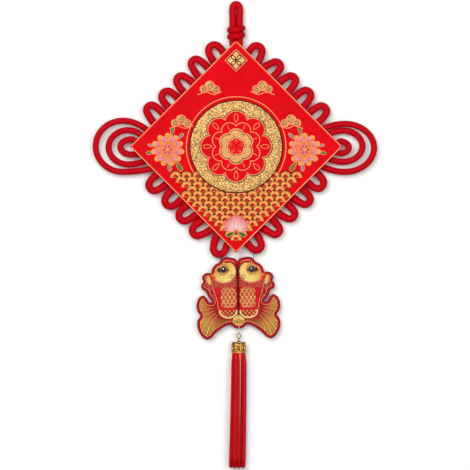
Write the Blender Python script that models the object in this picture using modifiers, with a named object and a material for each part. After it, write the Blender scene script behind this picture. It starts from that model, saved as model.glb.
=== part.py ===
"""A Chinese knot hanging.

One satin cord is woven into a square lattice, hung by one corner, with loops
along its four edges and nested ears at its two side corners. A square board
covers the lattice in front. A padded pendant of two fish hangs from the two
lowest loops, and a tassel under a gilt cap hangs from the pendant.

Metres, +Z up. The front looks along -Y. The origin is the inside of the
hanging loop's top, where a hook holds it.
"""
import math

import bmesh
import bpy
from mathutils import Matrix, Vector
from mathutils.geometry import delaunay_2d_cdt

MM = 0.001
GAP = 0.3 * MM

# The cord
CORD_R = 4.25 * MM
LATTICE_R = 3.4 * MM
LAYER = LATTICE_R + 0.5 * GAP
PAIRS = 7
PAIR_STEP = 28.5 * MM
STRAND_STEP = 8.7 * MM
FLAT_HALF = 7.2 * MM
CHANGE_STEP = 3.3 * MM
CORNER_REACH = 1.5 * MM

# The board and the place of its centre
BOARD_SIDE = 200 * MM
BOARD_HALF = BOARD_SIDE / 2
BOARD_THICK = 6 * MM
BOARD_EDGE_ROUND = 0.8 * MM
CENTRE_DROP = 186 * MM
BOARD_BACK_Y = -(LAYER + LATTICE_R + GAP)
BOARD_FRONT_Y = BOARD_BACK_Y - BOARD_THICK

# The knot lies a little askew behind the board
FALLING_SLANT = 3.3 * MM
RISING_SHIFT = 3.05 * MM

# A pair's two strands change places once, in the gap after the crossing named here.
# These changes make the whole knot one cord.
FALLING_CHANGES = {0: 3, 1: 1, 2: 4, 3: 2, 4: 3, 5: 4}
RISING_CHANGES = {1: 3, 2: 2, 3: 4, 4: 1}

# Edge loops, from the upper end of each edge down: how far the tip leans down
# along the edge, how far it reaches out, and half the loop's width, in mm
LOOPS = {
    "upper_left": [
        (-4.0, 19.7, 8.6),
        (-1.3, 23.3, 7.5),
        (0.0, 21.3, 7.6),
        (0.0, 20.4, 8.6),
        (-1.5, 22.0, 7.6),
    ],
    "upper_right": [
        (-5.0, 17.4, 8.2),
        (2.0, 20.3, 7.4),
        (0.4, 21.3, 7.5),
        (-0.4, 21.9, 7.8),
        (1.2, 22.0, 7.9),
    ],
    "lower_left": [
        (-2.0, 21.3, 8.4),
        (0.0, 21.0, 8.5),
        (-2.3, 21.7, 8.2),
        (-4.8, 23.0, 7.8),
        (9.0, 19.8, 8.5),
    ],
    "lower_right": [
        (-0.7, 19.5, 8.7),
        (-2.0, 22.1, 7.8),
        (-2.4, 21.3, 7.8),
        (-1.7, 22.0, 7.3),
        (4.0, 19.1, 7.9),
    ],
}
FIRST_LOOP_STRAND = {"upper_left": 1, "upper_right": 1, "lower_left": 3, "lower_right": 3}
HEAD_STEPS = 5

# Ears, outermost first: centre from the board's centre across and up, half width,
# half height, where the upper and lower legs pass the board's edge, measured from
# its side corner, all in mm, and the steps round the ear
EARS = {
    "left": [
        (-150.8, 0.8, 36.5, 34.1, 32.0, 40.6, 12),
        (-143.5, -0.4, 26.5, 22.9, 21.3, 26.8, 10),
        (-140.1, 0.0, 14.4, 10.1, 10.7, 14.0, 8),
    ],
    "right": [
        (145.2, -1.3, 38.7, 32.0, 34.7, 37.2, 12),
        (142.5, 0.9, 25.9, 20.9, 24.2, 23.0, 10),
        (138.5, -0.7, 12.0, 8.1, 7.5, 10.2, 8),
    ],
}

# The hanging loop and the wrapped knot under it, heights from the board's centre
HANGER_SPREAD = 4.5 * MM
HANGER_FOOT = 138 * MM
HANGER_STEP = 11 * MM
HANGER_ROOT = 7 * MM
HANGER_ROOT_R = 0.9 * CORD_R
HANGER_HEAD_STEPS = 6
WRAP_HEIGHTS = (148.2 * MM, 157.0 * MM)
WRAP_WIDE = 7.7 * MM
WRAP_DEEP = 6.5 * MM
WRAP_R = 4.7 * MM
WRAP_TILT = 0.17
WRAP_STEPS = 14

# Raised cloth pieces on the board's face
MEDALLION_R = 62 * MM
MEDALLION_THICK = 1.2 * MM
MEDALLION_STEPS = 72
BLOSSOM_R = 47 * MM
BLOSSOM_THICK = 1.8 * MM
BLOSSOM_PETALS = 8
BLOSSOM_NOTCH = 0.2
BLOSSOM_STEPS = 96
HEART_R = 24 * MM
HEART_THICK = 1.4 * MM
HEART_PETALS = 6
HEART_STEPS = 72
PETAL_ROUNDNESS = 0.6
EMBLEM_SIDE = 21.7 * MM
EMBLEM_THICK = 1.0 * MM
EMBLEM_UP = 114.6 * MM

# The pendant: its middle seam's foot point, and how much it hangs askew
PENDANT_X = 2.8 * MM
PENDANT_Z = -386.9 * MM
PENDANT_TILT = math.radians(1.2)
PENDANT_EDGE = 1.0 * MM
PENDANT_FLANGE = 3.2 * MM
PENDANT_CROWN = 7.4 * MM
PENDANT_RISE = 14 * MM
SEAM_SOFTNESS = 3.6 * MM
PENDANT_GRID = 7 * MM
GRID_CLEARANCE = 2 * MM
GRID_ROWS = 9
# Right half of the pendant's outline, from the notch between the two mouths to
# the middle of the coin: across and up from the seam's foot point, in mm
PENDANT_OUTLINE = [
    # mouth
    (0.0, 48.5), (2.4, 51.6), (7.7, 53.3), (17.7, 53.7), (22.0, 50.4), (23.7, 47.9),
    # head
    (29.1, 45.0), (33.5, 39.6), (35.7, 33.6),
    # side fin
    (40.4, 33.9), (46.1, 31.0), (47.7, 26.3), (46.1, 22.3), (49.1, 17.3), (47.7, 11.7),
    (43.1, 9.1), (41.5, 5.4), (38.4, -0.4), (34.6, -5.4),
    # tail, upper lobe
    (38.1, -5.9), (42.1, 0.0), (46.4, 3.8), (51.7, 1.3), (55.3, -5.9), (55.9, -12.5),
    (53.7, -19.1), (50.9, -23.5),
    # tail, lower lobe
    (54.4, -28.4), (55.6, -35.2), (53.7, -43.8), (48.8, -51.7), (42.4, -55.3),
    (37.1, -53.2), (31.1, -47.0), (23.1, -40.9), (15.1, -36.7), (10.4, -36.1),
    # coin
    (7.5, -39.0), (3.7, -40.9), (0.0, -41.5),
]

# The threads and their holes in the pendant, in the pendant's own frame
THREAD_R = 0.5 * MM
HOLE_R = 1.0 * MM
PUNCH_LENGTH = 30 * MM
TIE_HOLES = {"tie_left": (-20.5 * MM, 48.5 * MM), "tie_right": (20.5 * MM, 48.5 * MM)}
TIE_CORD_X = {"tie_left": -21.0 * MM, "tie_right": 24.5 * MM}
TIE_REACH = 5.5 * MM
HANGER_HOLE = (0.0, -38.7 * MM)

# The gilt eye, the cap and the tassel
TASSEL_X = 3.4 * MM
EYE_Z = -437.8 * MM
EYE_WIDE = 2.5 * MM
EYE_TALL = 3.5 * MM
EYE_WIRE_R = 0.8 * MM
EYE_STEPS = 18
COLLAR_R = 2.3 * MM
COLLAR_TALL = 1.8 * MM
NECK_R = 1.3 * MM
STEM_R = 1.0 * MM
CAP_TOP_Z = -446.4 * MM
CAP_FOOT_Z = -460.6 * MM
CAP_R = 9.5 * MM
CAP_WALL = 0.9 * MM
CAP_SHOULDER = 2.2 * MM
CAP_CORNER_WIDE = 0.6 * MM
CAP_CORNER_TALL = 0.8 * MM
HEAD_R = 8.1 * MM
HEAD_CORNER = 2 * MM
SKIRT_R = 10.0 * MM
SKIRT_TALL = 2.2 * MM
TASSEL_FOOT_Z = -614.4 * MM
LOCK_R = 0.98 * MM
LOCK_RINGS = [(0.0, 1), (2.35, 6), (4.6, 12), (6.8, 18), (9.0, 24)]
LOCK_STEPS = 5
TASSEL_FLARE = 0.12
TASSEL_DRIFT = -2.4 * MM
LOCK_UNEVEN = 5 * MM


def clear_scene():
    for obj in list(bpy.data.objects):
        bpy.data.objects.remove(obj, do_unlink=True)


def new_collection(name):
    collection = bpy.data.collections.new(name)
    bpy.context.scene.collection.children.link(collection)
    return collection


clear_scene()
PARTS = new_collection("chinese_knot_tassel")
CUTTERS = new_collection("cutters")


def make_material(name, colour, roughness, metallic=0.0):
    material = bpy.data.materials.new(name)
    material.use_nodes = True
    shader = material.node_tree.nodes["Principled BSDF"]
    shader.inputs["Base Color"].default_value = (*colour, 1.0)
    shader.inputs["Roughness"].default_value = roughness
    shader.inputs["Metallic"].default_value = metallic
    return material


RED_SATIN = make_material("red_satin_cord", (0.55, 0.004, 0.012), 0.42)
RED_VELVET = make_material("red_velvet_board", (0.80, 0.004, 0.010), 0.85)
GOLD_CLOTH = make_material("gold_cloth_medallion", (0.72, 0.42, 0.12), 0.50, 0.3)
BLOSSOM_VELVET = make_material("red_velvet_blossom", (0.72, 0.003, 0.015), 0.80)
HEART_VELVET = make_material("gold_velvet_heart", (0.85, 0.40, 0.12), 0.65)
EMBLEM_CLOTH = make_material("gold_cloth_emblem", (0.80, 0.58, 0.28), 0.50, 0.3)
PENDANT_PLUSH = make_material("printed_plush", (0.66, 0.05, 0.03), 0.75)
RED_THREAD = make_material("dark_red_thread", (0.16, 0.005, 0.008), 0.60)
PALE_THREAD = make_material("pale_thread", (0.85, 0.78, 0.60), 0.40)
GILT_EYE = make_material("gilt_eye", (0.60, 0.42, 0.20), 0.30, 1.0)
GILT_CAP = make_material("gilt_cap", (0.55, 0.33, 0.10), 0.35, 1.0)
TASSEL_SILK = make_material("tassel_silk", (0.55, 0.006, 0.015), 0.38)


def add_object(name, data, material):
    obj = bpy.data.objects.new(name, data)
    PARTS.objects.link(obj)
    if material is not None:
        data.materials.append(material)
    return obj


def make_cutter(obj):
    """Move an object among the cutters, out of the model."""
    for collection in list(obj.users_collection):
        collection.objects.unlink(obj)
    CUTTERS.objects.link(obj)
    obj.hide_render = True
    obj.display_type = "WIRE"
    return obj


def add_boolean(obj, other, operation):
    modifier = obj.modifiers.new(operation.lower() + "_" + other.name, "BOOLEAN")
    modifier.operation = operation
    modifier.solver = "EXACT"
    modifier.object = other


def claim_active(name, material):
    """Take the primitive just added into the model."""
    obj = bpy.context.active_object
    obj.name = name
    for collection in list(obj.users_collection):
        collection.objects.unlink(obj)
    PARTS.objects.link(obj)
    if material is not None:
        obj.data.materials.append(material)
    return obj


def curve_of_tubes(name, routes, radius, resolution, material, cyclic=False):
    """A curve object of round tubes. Each route is a list of (point, radius factor)."""
    curve = bpy.data.curves.new(name, "CURVE")
    curve.dimensions = "3D"
    curve.bevel_depth = radius
    curve.bevel_resolution = resolution
    curve.use_fill_caps = True
    for route in routes:
        spline = curve.splines.new("POLY")
        spline.points.add(len(route) - 1)
        for point, (place, factor) in zip(spline.points, route):
            point.co = (*place, 1.0)
            point.radius = factor
        spline.use_cyclic_u = cyclic
        spline.use_smooth = True
    return add_object(name, curve, material)


def curve_to_mesh(obj):
    """Replace a curve object by its mesh, with the caps welded on."""
    bpy.context.view_layer.update()
    evaluated = obj.evaluated_get(bpy.context.evaluated_depsgraph_get())
    mesh = bpy.data.meshes.new_from_object(evaluated)
    work = bmesh.new()
    work.from_mesh(mesh)
    bmesh.ops.remove_doubles(work, verts=work.verts, dist=0.01 * MM)
    work.to_mesh(mesh)
    work.free()
    name = obj.name
    placed = obj.matrix_world.copy()
    bpy.data.objects.remove(obj, do_unlink=True)
    new = bpy.data.objects.new(name, mesh)
    new.matrix_world = placed
    PARTS.objects.link(new)
    return new


# The lattice has its own two directions in the board's plane: rise runs up to the
# right and fall runs down to the right, both from the board's centre.

def place(rise, fall, depth):
    """A point of the lattice in the part's frame."""
    across = (rise + fall) / math.sqrt(2)
    up = (rise - fall) / math.sqrt(2)
    return Vector((across, depth, up - CENTRE_DROP))


def place_up(across, up, depth):
    """A point given across and up from the board's centre."""
    return Vector((across, depth, up - CENTRE_DROP))


def falling_slant(fall):
    return -FALLING_SLANT * (BOARD_HALF - fall) / BOARD_SIDE


def strand_offset(index):
    """Where the strand lies beside its pair's middle: the even one lies nearer the top."""
    return (-0.5 if index % 2 == 0 else 0.5) * STRAND_STEP


def pair_middle(pair):
    return (pair - (PAIRS - 1) / 2) * PAIR_STEP


def strand_run(kind, index):
    """One strand through the lattice, from its upper end to its lower end.

    A falling strand runs down to the right, a rising one is followed down to the
    left. Both are worked out as distance along the run, distance down from the
    lattice's middle across the run, and depth. Returns the points and the index
    of the place where the strand comes out.
    """
    pair = index // 2
    offset = strand_offset(index)
    falling = kind == "falling"
    change = (FALLING_CHANGES if falling else RISING_CHANGES).get(pair)
    middle = pair_middle(pair)
    points = []

    def put(along, aside, depth):
        if falling:
            points.append((place(-(middle + aside) + falling_slant(along), along, depth), LATTICE_R))
        else:
            points.append((place(-along, middle + aside + RISING_SHIFT, depth), LATTICE_R))

    def crossing(number):
        if falling:
            return pair_middle(number) + RISING_SHIFT
        return pair_middle(number) - falling_slant(middle + RISING_SHIFT)

    for number in range(PAIRS):
        in_front = ((pair + number) % 2 == 0) == falling
        depth = -LAYER if in_front else LAYER
        centre = crossing(number)
        put(centre - FLAT_HALF, offset, depth)
        last = number == PAIRS - 1
        if last and index == 2 * PAIRS - 1:
            put(centre, offset, depth)
        else:
            put(centre + FLAT_HALF, offset, depth)
        if change == number:
            halfway = (crossing(number + 1) + centre) / 2
            slip = offset * math.cos(math.pi / 4)
            part_way = depth * (1 - 2 * math.sin(math.pi / 4))
            if offset < 0:
                depths = (part_way, -depth, -depth)
            else:
                depths = (depth, depth, -part_way)
            put(halfway - CHANGE_STEP, slip, depths[0])
            put(halfway, 0.0, depths[1])
            put(halfway + CHANGE_STEP, -slip, depths[2])
            offset = -offset
    leaves_at = index if change is None else index + (1 if index % 2 == 0 else -1)
    return points, leaves_at


def edge_point(edge, along, outward, depth):
    """A point beside one edge of the board: along runs down the edge from its upper end."""
    if edge == "upper_left":
        return place(BOARD_HALF - along, -BOARD_HALF - outward, depth)
    if edge == "upper_right":
        return place(BOARD_HALF + outward, along - BOARD_HALF, depth)
    if edge == "lower_left":
        return place(-BOARD_HALF - outward, along - BOARD_HALF, depth)
    return place(BOARD_HALF - along, BOARD_HALF + outward, depth)


def leg_along(edge, index):
    """Where a strand passes the board's edge."""
    down = pair_middle(index // 2) + strand_offset(index) + BOARD_HALF
    if edge == "upper_left":
        return down + FALLING_SLANT
    if edge == "lower_right":
        return down
    return down + RISING_SHIFT


def end_layer(kind, index, upper):
    """The depth at which a strand leaves the lattice."""
    number = 0 if upper else PAIRS - 1
    in_front = ((index // 2 + number) % 2 == 0) == (kind == "falling")
    return -LAYER if in_front else LAYER


def loop_route(edge, index, lean, reach, half_width):
    """An edge loop, from strand index to the next one."""
    kind = "falling" if edge in ("upper_left", "lower_right") else "rising"
    upper = edge.startswith("upper")
    first = leg_along(edge, index)
    second = leg_along(edge, index + 1)
    axis = Vector((lean, reach)).normalized()
    side = Vector((-axis.y, axis.x))
    head = min(half_width * 1.05, reach * 0.55)
    centre = Vector(((first + second) / 2 + lean, reach)) - axis * head
    points = [(edge_point(edge, first, 0.0, end_layer(kind, index, upper) / 2), CORD_R)]
    for step in range(HEAD_STEPS + 1):
        turn = math.pi * step / HEAD_STEPS
        spot = centre + side * half_width * math.cos(turn) + axis * head * math.sin(turn)
        points.append((edge_point(edge, spot.x, spot.y, 0.0), CORD_R))
    points.append((edge_point(edge, second, 0.0, end_layer(kind, index + 1, upper) / 2), CORD_R))
    return points


def ear_route(side, rank, centre_x, centre_z, half_width, half_height, upper, lower, steps):
    """An ear round a side corner, from its upper leg to its lower leg."""
    left = side == "left"
    upper_edge = "upper_left" if left else "upper_right"
    lower_edge = "lower_left" if left else "lower_right"
    upper_kind = "falling" if left else "rising"
    lower_kind = "rising" if left else "falling"
    upper_index = 2 * PAIRS - 3 + rank
    lower_index = 2 - rank
    first_depth = end_layer(upper_kind, upper_index, True) / 2
    last_depth = end_layer(lower_kind, lower_index, False) / 2
    points = [(edge_point(upper_edge, BOARD_SIDE - upper, 0.0, first_depth), CORD_R)]
    outward = -1 if left else 1
    for step in range(steps + 1):
        turn = math.pi * step / steps
        across = centre_x + outward * half_width * math.sin(turn)
        up = centre_z + half_height * math.cos(turn)
        points.append((place_up(across, up, 0.0), CORD_R))
    points.append((edge_point(lower_edge, lower, 0.0, last_depth), CORD_R))
    return points


def hanger_route():
    """From the first falling strand up through the wrapped knot, over the hanging
    loop's top, and down to the first rising strand."""
    head_up = CENTRE_DROP + CORD_R - HANGER_SPREAD
    points = [
        (place_up(-HANGER_SPREAD, HANGER_FOOT - HANGER_ROOT, -0.7 * LAYER), HANGER_ROOT_R),
        (place_up(-HANGER_SPREAD, HANGER_FOOT, 0.0), CORD_R),
    ]
    levels = [HANGER_FOOT + HANGER_STEP * n for n in range(1, 4)]
    points += [(place_up(-HANGER_SPREAD, up, 0.0), CORD_R) for up in levels]
    for step in range(HANGER_HEAD_STEPS + 1):
        turn = math.pi * (1 - step / HANGER_HEAD_STEPS)
        across = HANGER_SPREAD * math.cos(turn)
        up = head_up + HANGER_SPREAD * math.sin(turn)
        points.append((place_up(across, up, 0.0), CORD_R))
    points += [(place_up(HANGER_SPREAD, up, 0.0), CORD_R) for up in reversed(levels)]
    points += [
        (place_up(HANGER_SPREAD, HANGER_FOOT, 0.0), CORD_R),
        (place_up(HANGER_SPREAD, HANGER_FOOT - HANGER_ROOT, 0.7 * LAYER), HANGER_ROOT_R),
    ]
    return points


def corner_route():
    """Behind the board's lowest corner the last falling strand turns into the last rising one."""
    corner = pair_middle(PAIRS - 1) + STRAND_STEP / 2 + CORNER_REACH
    return [(place(-corner, corner + RISING_SHIFT, 0.0), LATTICE_R)]


def scaled(row, count):
    """A table row with its first values turned from mm to metres."""
    return [value * MM if n < count else value for n, value in enumerate(row)]


def all_links():
    """What joins the strands' ends: (one end, other end, route between them)."""
    links = []
    for edge, rows in LOOPS.items():
        kind = "falling" if edge in ("upper_left", "lower_right") else "rising"
        level = "upper" if edge.startswith("upper") else "lower"
        for number, row in enumerate(rows):
            index = FIRST_LOOP_STRAND[edge] + 2 * number
            route = loop_route(edge, index, *scaled(row, 3))
            links.append(((kind, index, level), (kind, index + 1, level), route))
    for side, rows in EARS.items():
        upper_kind = "falling" if side == "left" else "rising"
        lower_kind = "rising" if side == "left" else "falling"
        for rank, row in enumerate(rows):
            first = (upper_kind, 2 * PAIRS - 3 + rank, "upper")
            second = (lower_kind, 2 - rank, "lower")
            links.append((first, second, ear_route(side, rank, *scaled(row, 6))))
    last = 2 * PAIRS - 1
    links.append((("falling", last, "lower"), ("rising", last, "lower"), corner_route()))
    links.append((("falling", 0, "upper"), ("rising", 0, "upper"), hanger_route()))
    return links


def cord_route():
    """Follow the cord from strand to loop to strand until it closes on itself."""
    ends = {}
    for first, second, route in all_links():
        ends[first] = (second, route)
        ends[second] = (first, route[::-1])
    runs = {}
    for kind in ("falling", "rising"):
        for index in range(2 * PAIRS):
            points, leaves_at = strand_run(kind, index)
            runs[(kind, index, "upper")] = ((kind, leaves_at, "lower"), points)
            runs[(kind, leaves_at, "lower")] = ((kind, index, "upper"), points[::-1])
    start = ("falling", 0, "upper")
    here = start
    route = []
    strands = 0
    while True:
        here, points = runs[here]
        route += points
        strands += 1
        here, points = ends[here]
        route += points
        if here == start:
            break
    if strands != 4 * PAIRS:
        raise ValueError("the knot is not one cord: %d strands" % strands)
    return route


def wrap_route(up):
    """One turn of the wrapped knot, tilted up to the right."""
    points = []
    for step in range(WRAP_STEPS):
        turn = 2 * math.pi * step / WRAP_STEPS
        across = WRAP_WIDE * math.cos(turn)
        depth = WRAP_DEEP * math.sin(turn)
        points.append((place_up(across, up + WRAP_TILT * across, depth), 1.0))
    return points


def build_cord():
    route = [(point, radius / CORD_R) for point, radius in cord_route()]
    cord = curve_to_mesh(curve_of_tubes("knot_cord", [route], CORD_R, 1, None, cyclic=True))
    cord.data.materials.append(RED_SATIN)
    for number, up in enumerate(WRAP_HEIGHTS):
        name = "wrap_%d" % (number + 1)
        wrap = curve_to_mesh(curve_of_tubes(name, [wrap_route(up)], WRAP_R, 2, None, cyclic=True))
        add_boolean(cord, make_cutter(wrap), "UNION")
    return cord


def face_plate(name, side, thick, across, up, back_y, material):
    """A square plate hung by its corner, its back at back_y."""
    bpy.ops.mesh.primitive_cube_add(size=1.0)
    obj = claim_active(name, material)
    obj.data.transform(Matrix.Diagonal((side, thick, side, 1.0)))
    obj.rotation_euler = (0.0, math.pi / 4, 0.0)
    obj.location = place_up(across, up, back_y - thick / 2)
    return obj


def build_board():
    board = face_plate("face_board", BOARD_SIDE, BOARD_THICK, 0.0, 0.0, BOARD_BACK_Y, RED_VELVET)
    bevel = board.modifiers.new("rounded_edges", "BEVEL")
    bevel.width = BOARD_EDGE_ROUND
    bevel.segments = 2


def petal_outline(radius, petals, notch, steps):
    """A flower's outline: round petals with a notch between each two."""
    points = []
    for step in range(steps):
        angle = 2 * math.pi * step / steps
        lobe = abs(math.cos(petals * angle / 2)) ** PETAL_ROUNDNESS
        reach = radius * (1 - notch + notch * lobe)
        points.append((reach * math.sin(angle), reach * math.cos(angle)))
    return points


def cloth_shape(name, outline, thick, back_y, material):
    """A flat outline cut from cloth, standing on the board's face."""
    curve = bpy.data.curves.new(name, "CURVE")
    curve.dimensions = "2D"
    curve.fill_mode = "BOTH"
    curve.extrude = thick / 2
    spline = curve.splines.new("POLY")
    spline.points.add(len(outline) - 1)
    for point, (across, up) in zip(spline.points, outline):
        point.co = (across, up, 0.0, 1.0)
    spline.use_cyclic_u = True
    obj = add_object(name, curve, material)
    obj.rotation_euler = (math.pi / 2, 0.0, 0.0)
    obj.location = place_up(0.0, 0.0, back_y - thick / 2)
    return obj


def build_face_design():
    medallion_back = BOARD_FRONT_Y - GAP
    round_outline = petal_outline(MEDALLION_R, 1, 0.0, MEDALLION_STEPS)
    cloth_shape("medallion", round_outline, MEDALLION_THICK, medallion_back, GOLD_CLOTH)
    blossom_back = medallion_back - MEDALLION_THICK - GAP
    blossom = petal_outline(BLOSSOM_R, BLOSSOM_PETALS, BLOSSOM_NOTCH, BLOSSOM_STEPS)
    cloth_shape("blossom", blossom, BLOSSOM_THICK, blossom_back, BLOSSOM_VELVET)
    heart_back = blossom_back - BLOSSOM_THICK - GAP
    heart = petal_outline(HEART_R, HEART_PETALS, BLOSSOM_NOTCH, HEART_STEPS)
    cloth_shape("blossom_heart", heart, HEART_THICK, heart_back, HEART_VELVET)
    face_plate("emblem", EMBLEM_SIDE, EMBLEM_THICK, 0.0, EMBLEM_UP, medallion_back, EMBLEM_CLOTH)


def pendant_outline():
    """The whole outline, the left half mirrored from the right one."""
    right = [Vector((across * MM, up * MM)) for across, up in PENDANT_OUTLINE]
    left = [Vector((-point.x, point.y)) for point in right[-2:0:-1]]
    return right + left


def smooth_outline(points):
    """A closed curve through the points, with one more point between each two."""
    count = len(points)
    smooth = []
    for n, point in enumerate(points):
        before = points[n - 1]
        after = points[(n + 1) % count]
        beyond = points[(n + 2) % count]
        smooth.append(point)
        smooth.append((9 * (point + after) - before - beyond) / 16)
    return smooth


def edge_distance(spot, outline):
    """How far a point lies from the outline."""
    nearest = math.inf
    for n, start in enumerate(outline):
        line = start - outline[n - 1]
        share = (spot - outline[n - 1]).dot(line) / line.length_squared
        foot = outline[n - 1] + line * min(max(share, 0.0), 1.0)
        nearest = min(nearest, (spot - foot).length)
    return nearest


def is_inside(spot, outline):
    inside = False
    for n, end in enumerate(outline):
        start = outline[n - 1]
        if (start.y > spot.y) != (end.y > spot.y):
            share = (spot.y - start.y) / (end.y - start.y)
            if spot.x < start.x + share * (end.x - start.x):
                inside = not inside
    return inside


def pendant_half_depth(spot, distance):
    """Half the pendant's thickness: a thin flange, then a crown that dips at the middle seam."""
    if distance <= PENDANT_FLANGE * 1.01:
        return PENDANT_EDGE
    into = min(distance - PENDANT_FLANGE, abs(spot.x) + SEAM_SOFTNESS - PENDANT_FLANGE)
    share = min(max(into, 0.0) / PENDANT_RISE, 1.0)
    return PENDANT_EDGE + PENDANT_CROWN * math.sqrt(1 - (1 - share) ** 2)


def pendant_spots(outline):
    """The outline, a ring of points at the flange's inner line, and a grid inside."""
    spots = list(outline)
    for n, point in enumerate(outline):
        along = (outline[(n + 1) % len(outline)] - outline[n - 1]).normalized()
        inward = Vector((along.y, -along.x))
        ring = point + inward * PENDANT_FLANGE
        if is_inside(ring, outline) and edge_distance(ring, outline) > 0.97 * PENDANT_FLANGE:
            spots.append(ring)
    row_step = PENDANT_GRID * math.sqrt(3) / 2
    for row in range(-GRID_ROWS, GRID_ROWS + 1):
        for column in range(-GRID_ROWS, GRID_ROWS + 1):
            across = (column + 0.5 * (row % 2)) * PENDANT_GRID
            spot = Vector((across, row * row_step))
            clear = edge_distance(spot, outline) > PENDANT_FLANGE + GRID_CLEARANCE
            if clear and is_inside(spot, outline):
                spots.append(spot)
    return spots


def build_pendant():
    outline = smooth_outline(pendant_outline())
    spots = pendant_spots(outline)
    border = [(n, (n + 1) % len(outline)) for n in range(len(outline))]
    meshed = delaunay_2d_cdt(spots, border, [], 1, 1e-7)
    flat = meshed[0]
    faces = meshed[2]
    work = bmesh.new()
    front = []
    back = []
    for spot in flat:
        half = pendant_half_depth(spot, edge_distance(spot, outline))
        front.append(work.verts.new((spot.x, -half, spot.y)))
        back.append(work.verts.new((spot.x, half, spot.y)))
    for face in faces:
        work.faces.new([front[n] for n in face])
        work.faces.new([back[n] for n in reversed(face)])
    rim = [edge for edge in work.edges if edge.is_boundary and edge.verts[0].co.y < 0]
    for edge in rim:
        ends = [front.index(vert) for vert in edge.verts]
        work.faces.new([front[ends[0]], front[ends[1]], back[ends[1]], back[ends[0]]])
    bmesh.ops.recalc_face_normals(work, faces=work.faces)
    mesh = bpy.data.meshes.new("fish_pendant")
    work.to_mesh(mesh)
    work.free()
    mesh.shade_smooth()
    pendant = add_object("fish_pendant", mesh, PENDANT_PLUSH)
    pendant.matrix_world = pendant_frame()
    for name, (across, up) in {**TIE_HOLES, "hanger_thread": HANGER_HOLE}.items():
        bpy.ops.mesh.primitive_cylinder_add(vertices=10, radius=HOLE_R, depth=PUNCH_LENGTH)
        punch = make_cutter(claim_active("punch_" + name, None))
        punch.rotation_euler = (math.pi / 2, 0.0, 0.0)
        punch.location = pendant_frame() @ Vector((across, 0.0, up))
        add_boolean(pendant, punch, "DIFFERENCE")


def pendant_frame():
    placed = Matrix.Translation((PENDANT_X, 0.0, PENDANT_Z))
    return placed @ Matrix.Rotation(-PENDANT_TILT, 4, "Y")


def through_hole(hole, leave, half):
    """A thread's points through a hole, front to back, leaving both faces towards one side."""
    depth = Vector((0.0, 1.0, 0.0))
    shoulder = hole + leave * (half - THREAD_R)
    return [
        shoulder - depth * half,
        hole - depth * 0.6 * half,
        hole + depth * 0.6 * half,
        shoulder + depth * half,
    ]


def round_cord(centre, up, reach):
    """A thread's points over a cord, back to front."""
    depth = Vector((0.0, 1.0, 0.0))
    turns = [math.pi * step / 6 for step in range(-1, 8)]
    return [centre + reach * (depth * math.cos(turn) + up * math.sin(turn)) for turn in turns]


def lowest_cord_at(across):
    """The middle of the lowest cord under a place across the part."""
    lowest = None
    route = [point for point, _ in cord_route()]
    for n, end in enumerate(route):
        start = route[n - 1]
        if (start.x > across) != (end.x > across):
            spot = start.lerp(end, (across - start.x) / (end.x - start.x))
            if lowest is None or spot.z < lowest.z:
                lowest = spot
    return lowest


def build_threads():
    side_half = PENDANT_EDGE + GAP + THREAD_R
    for name, (across, up) in TIE_HOLES.items():
        hole = pendant_frame() @ Vector((across, 0.0, up))
        cord = lowest_cord_at(TIE_CORD_X[name])
        rise = (cord - hole).normalized()
        ring = through_hole(hole, rise, side_half) + round_cord(cord, rise, TIE_REACH)
        route = [(point, 1.0) for point in ring]
        curve_of_tubes(name, [route], THREAD_R, 1, RED_THREAD, cyclic=True)
    hole = pendant_frame() @ Vector((HANGER_HOLE[0], 0.0, HANGER_HOLE[1]))
    eye = Vector((TASSEL_X, 0.0, EYE_Z + EYE_TALL - EYE_WIRE_R - GAP - THREAD_R))
    rise = (hole - eye).normalized()
    ring = through_hole(eye, rise, side_half) + through_hole(hole, -rise, side_half)[::-1]
    route = [(point, 1.0) for point in ring]
    curve_of_tubes("hanger_thread", [route], THREAD_R, 1, PALE_THREAD, cyclic=True)


def turned(name, profile, material, steps=32):
    """A turned solid from a profile of (radius, height), outer side first, top to bottom."""
    mesh = bpy.data.meshes.new(name)
    verts = [(radius, 0.0, height) for radius, height in profile]
    edges = [(n, n + 1) for n in range(len(verts) - 1)]
    mesh.from_pydata(verts, edges, [])
    obj = add_object(name, mesh, material)
    obj.location = (TASSEL_X, 0.0, 0.0)
    screw = obj.modifiers.new("turned", "SCREW")
    screw.steps = steps
    screw.render_steps = steps
    screw.use_merge_vertices = True
    screw.merge_threshold = 0.01 * MM
    screw.use_smooth_shade = True
    return obj


def build_eye():
    """The eye's ring, then its neck, collar and stem, as one gilt piece."""
    foot = CAP_TOP_Z - CAP_WALL - GAP
    collar_top = CAP_TOP_Z + GAP + COLLAR_TALL
    ring_foot = EYE_Z - EYE_TALL
    stem = turned("eye_pin", [
        (0.0, ring_foot + 0.5 * EYE_WIRE_R),
        (NECK_R, ring_foot + 0.5 * EYE_WIRE_R),
        (NECK_R, collar_top),
        (COLLAR_R, collar_top),
        (COLLAR_R, CAP_TOP_Z + GAP),
        (STEM_R, CAP_TOP_Z + GAP),
        (STEM_R, foot),
        (0.0, foot),
    ], GILT_EYE, 12)
    route = []
    for step in range(EYE_STEPS):
        turn = 2 * math.pi * step / EYE_STEPS
        across = TASSEL_X + EYE_WIDE * math.cos(turn)
        route.append((Vector((across, 0.0, EYE_Z + EYE_TALL * math.sin(turn))), 1.0))
    ring = curve_to_mesh(curve_of_tubes("eye_ring", [route], EYE_WIRE_R, 2, None, cyclic=True))
    add_boolean(stem, make_cutter(ring), "UNION")


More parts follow.
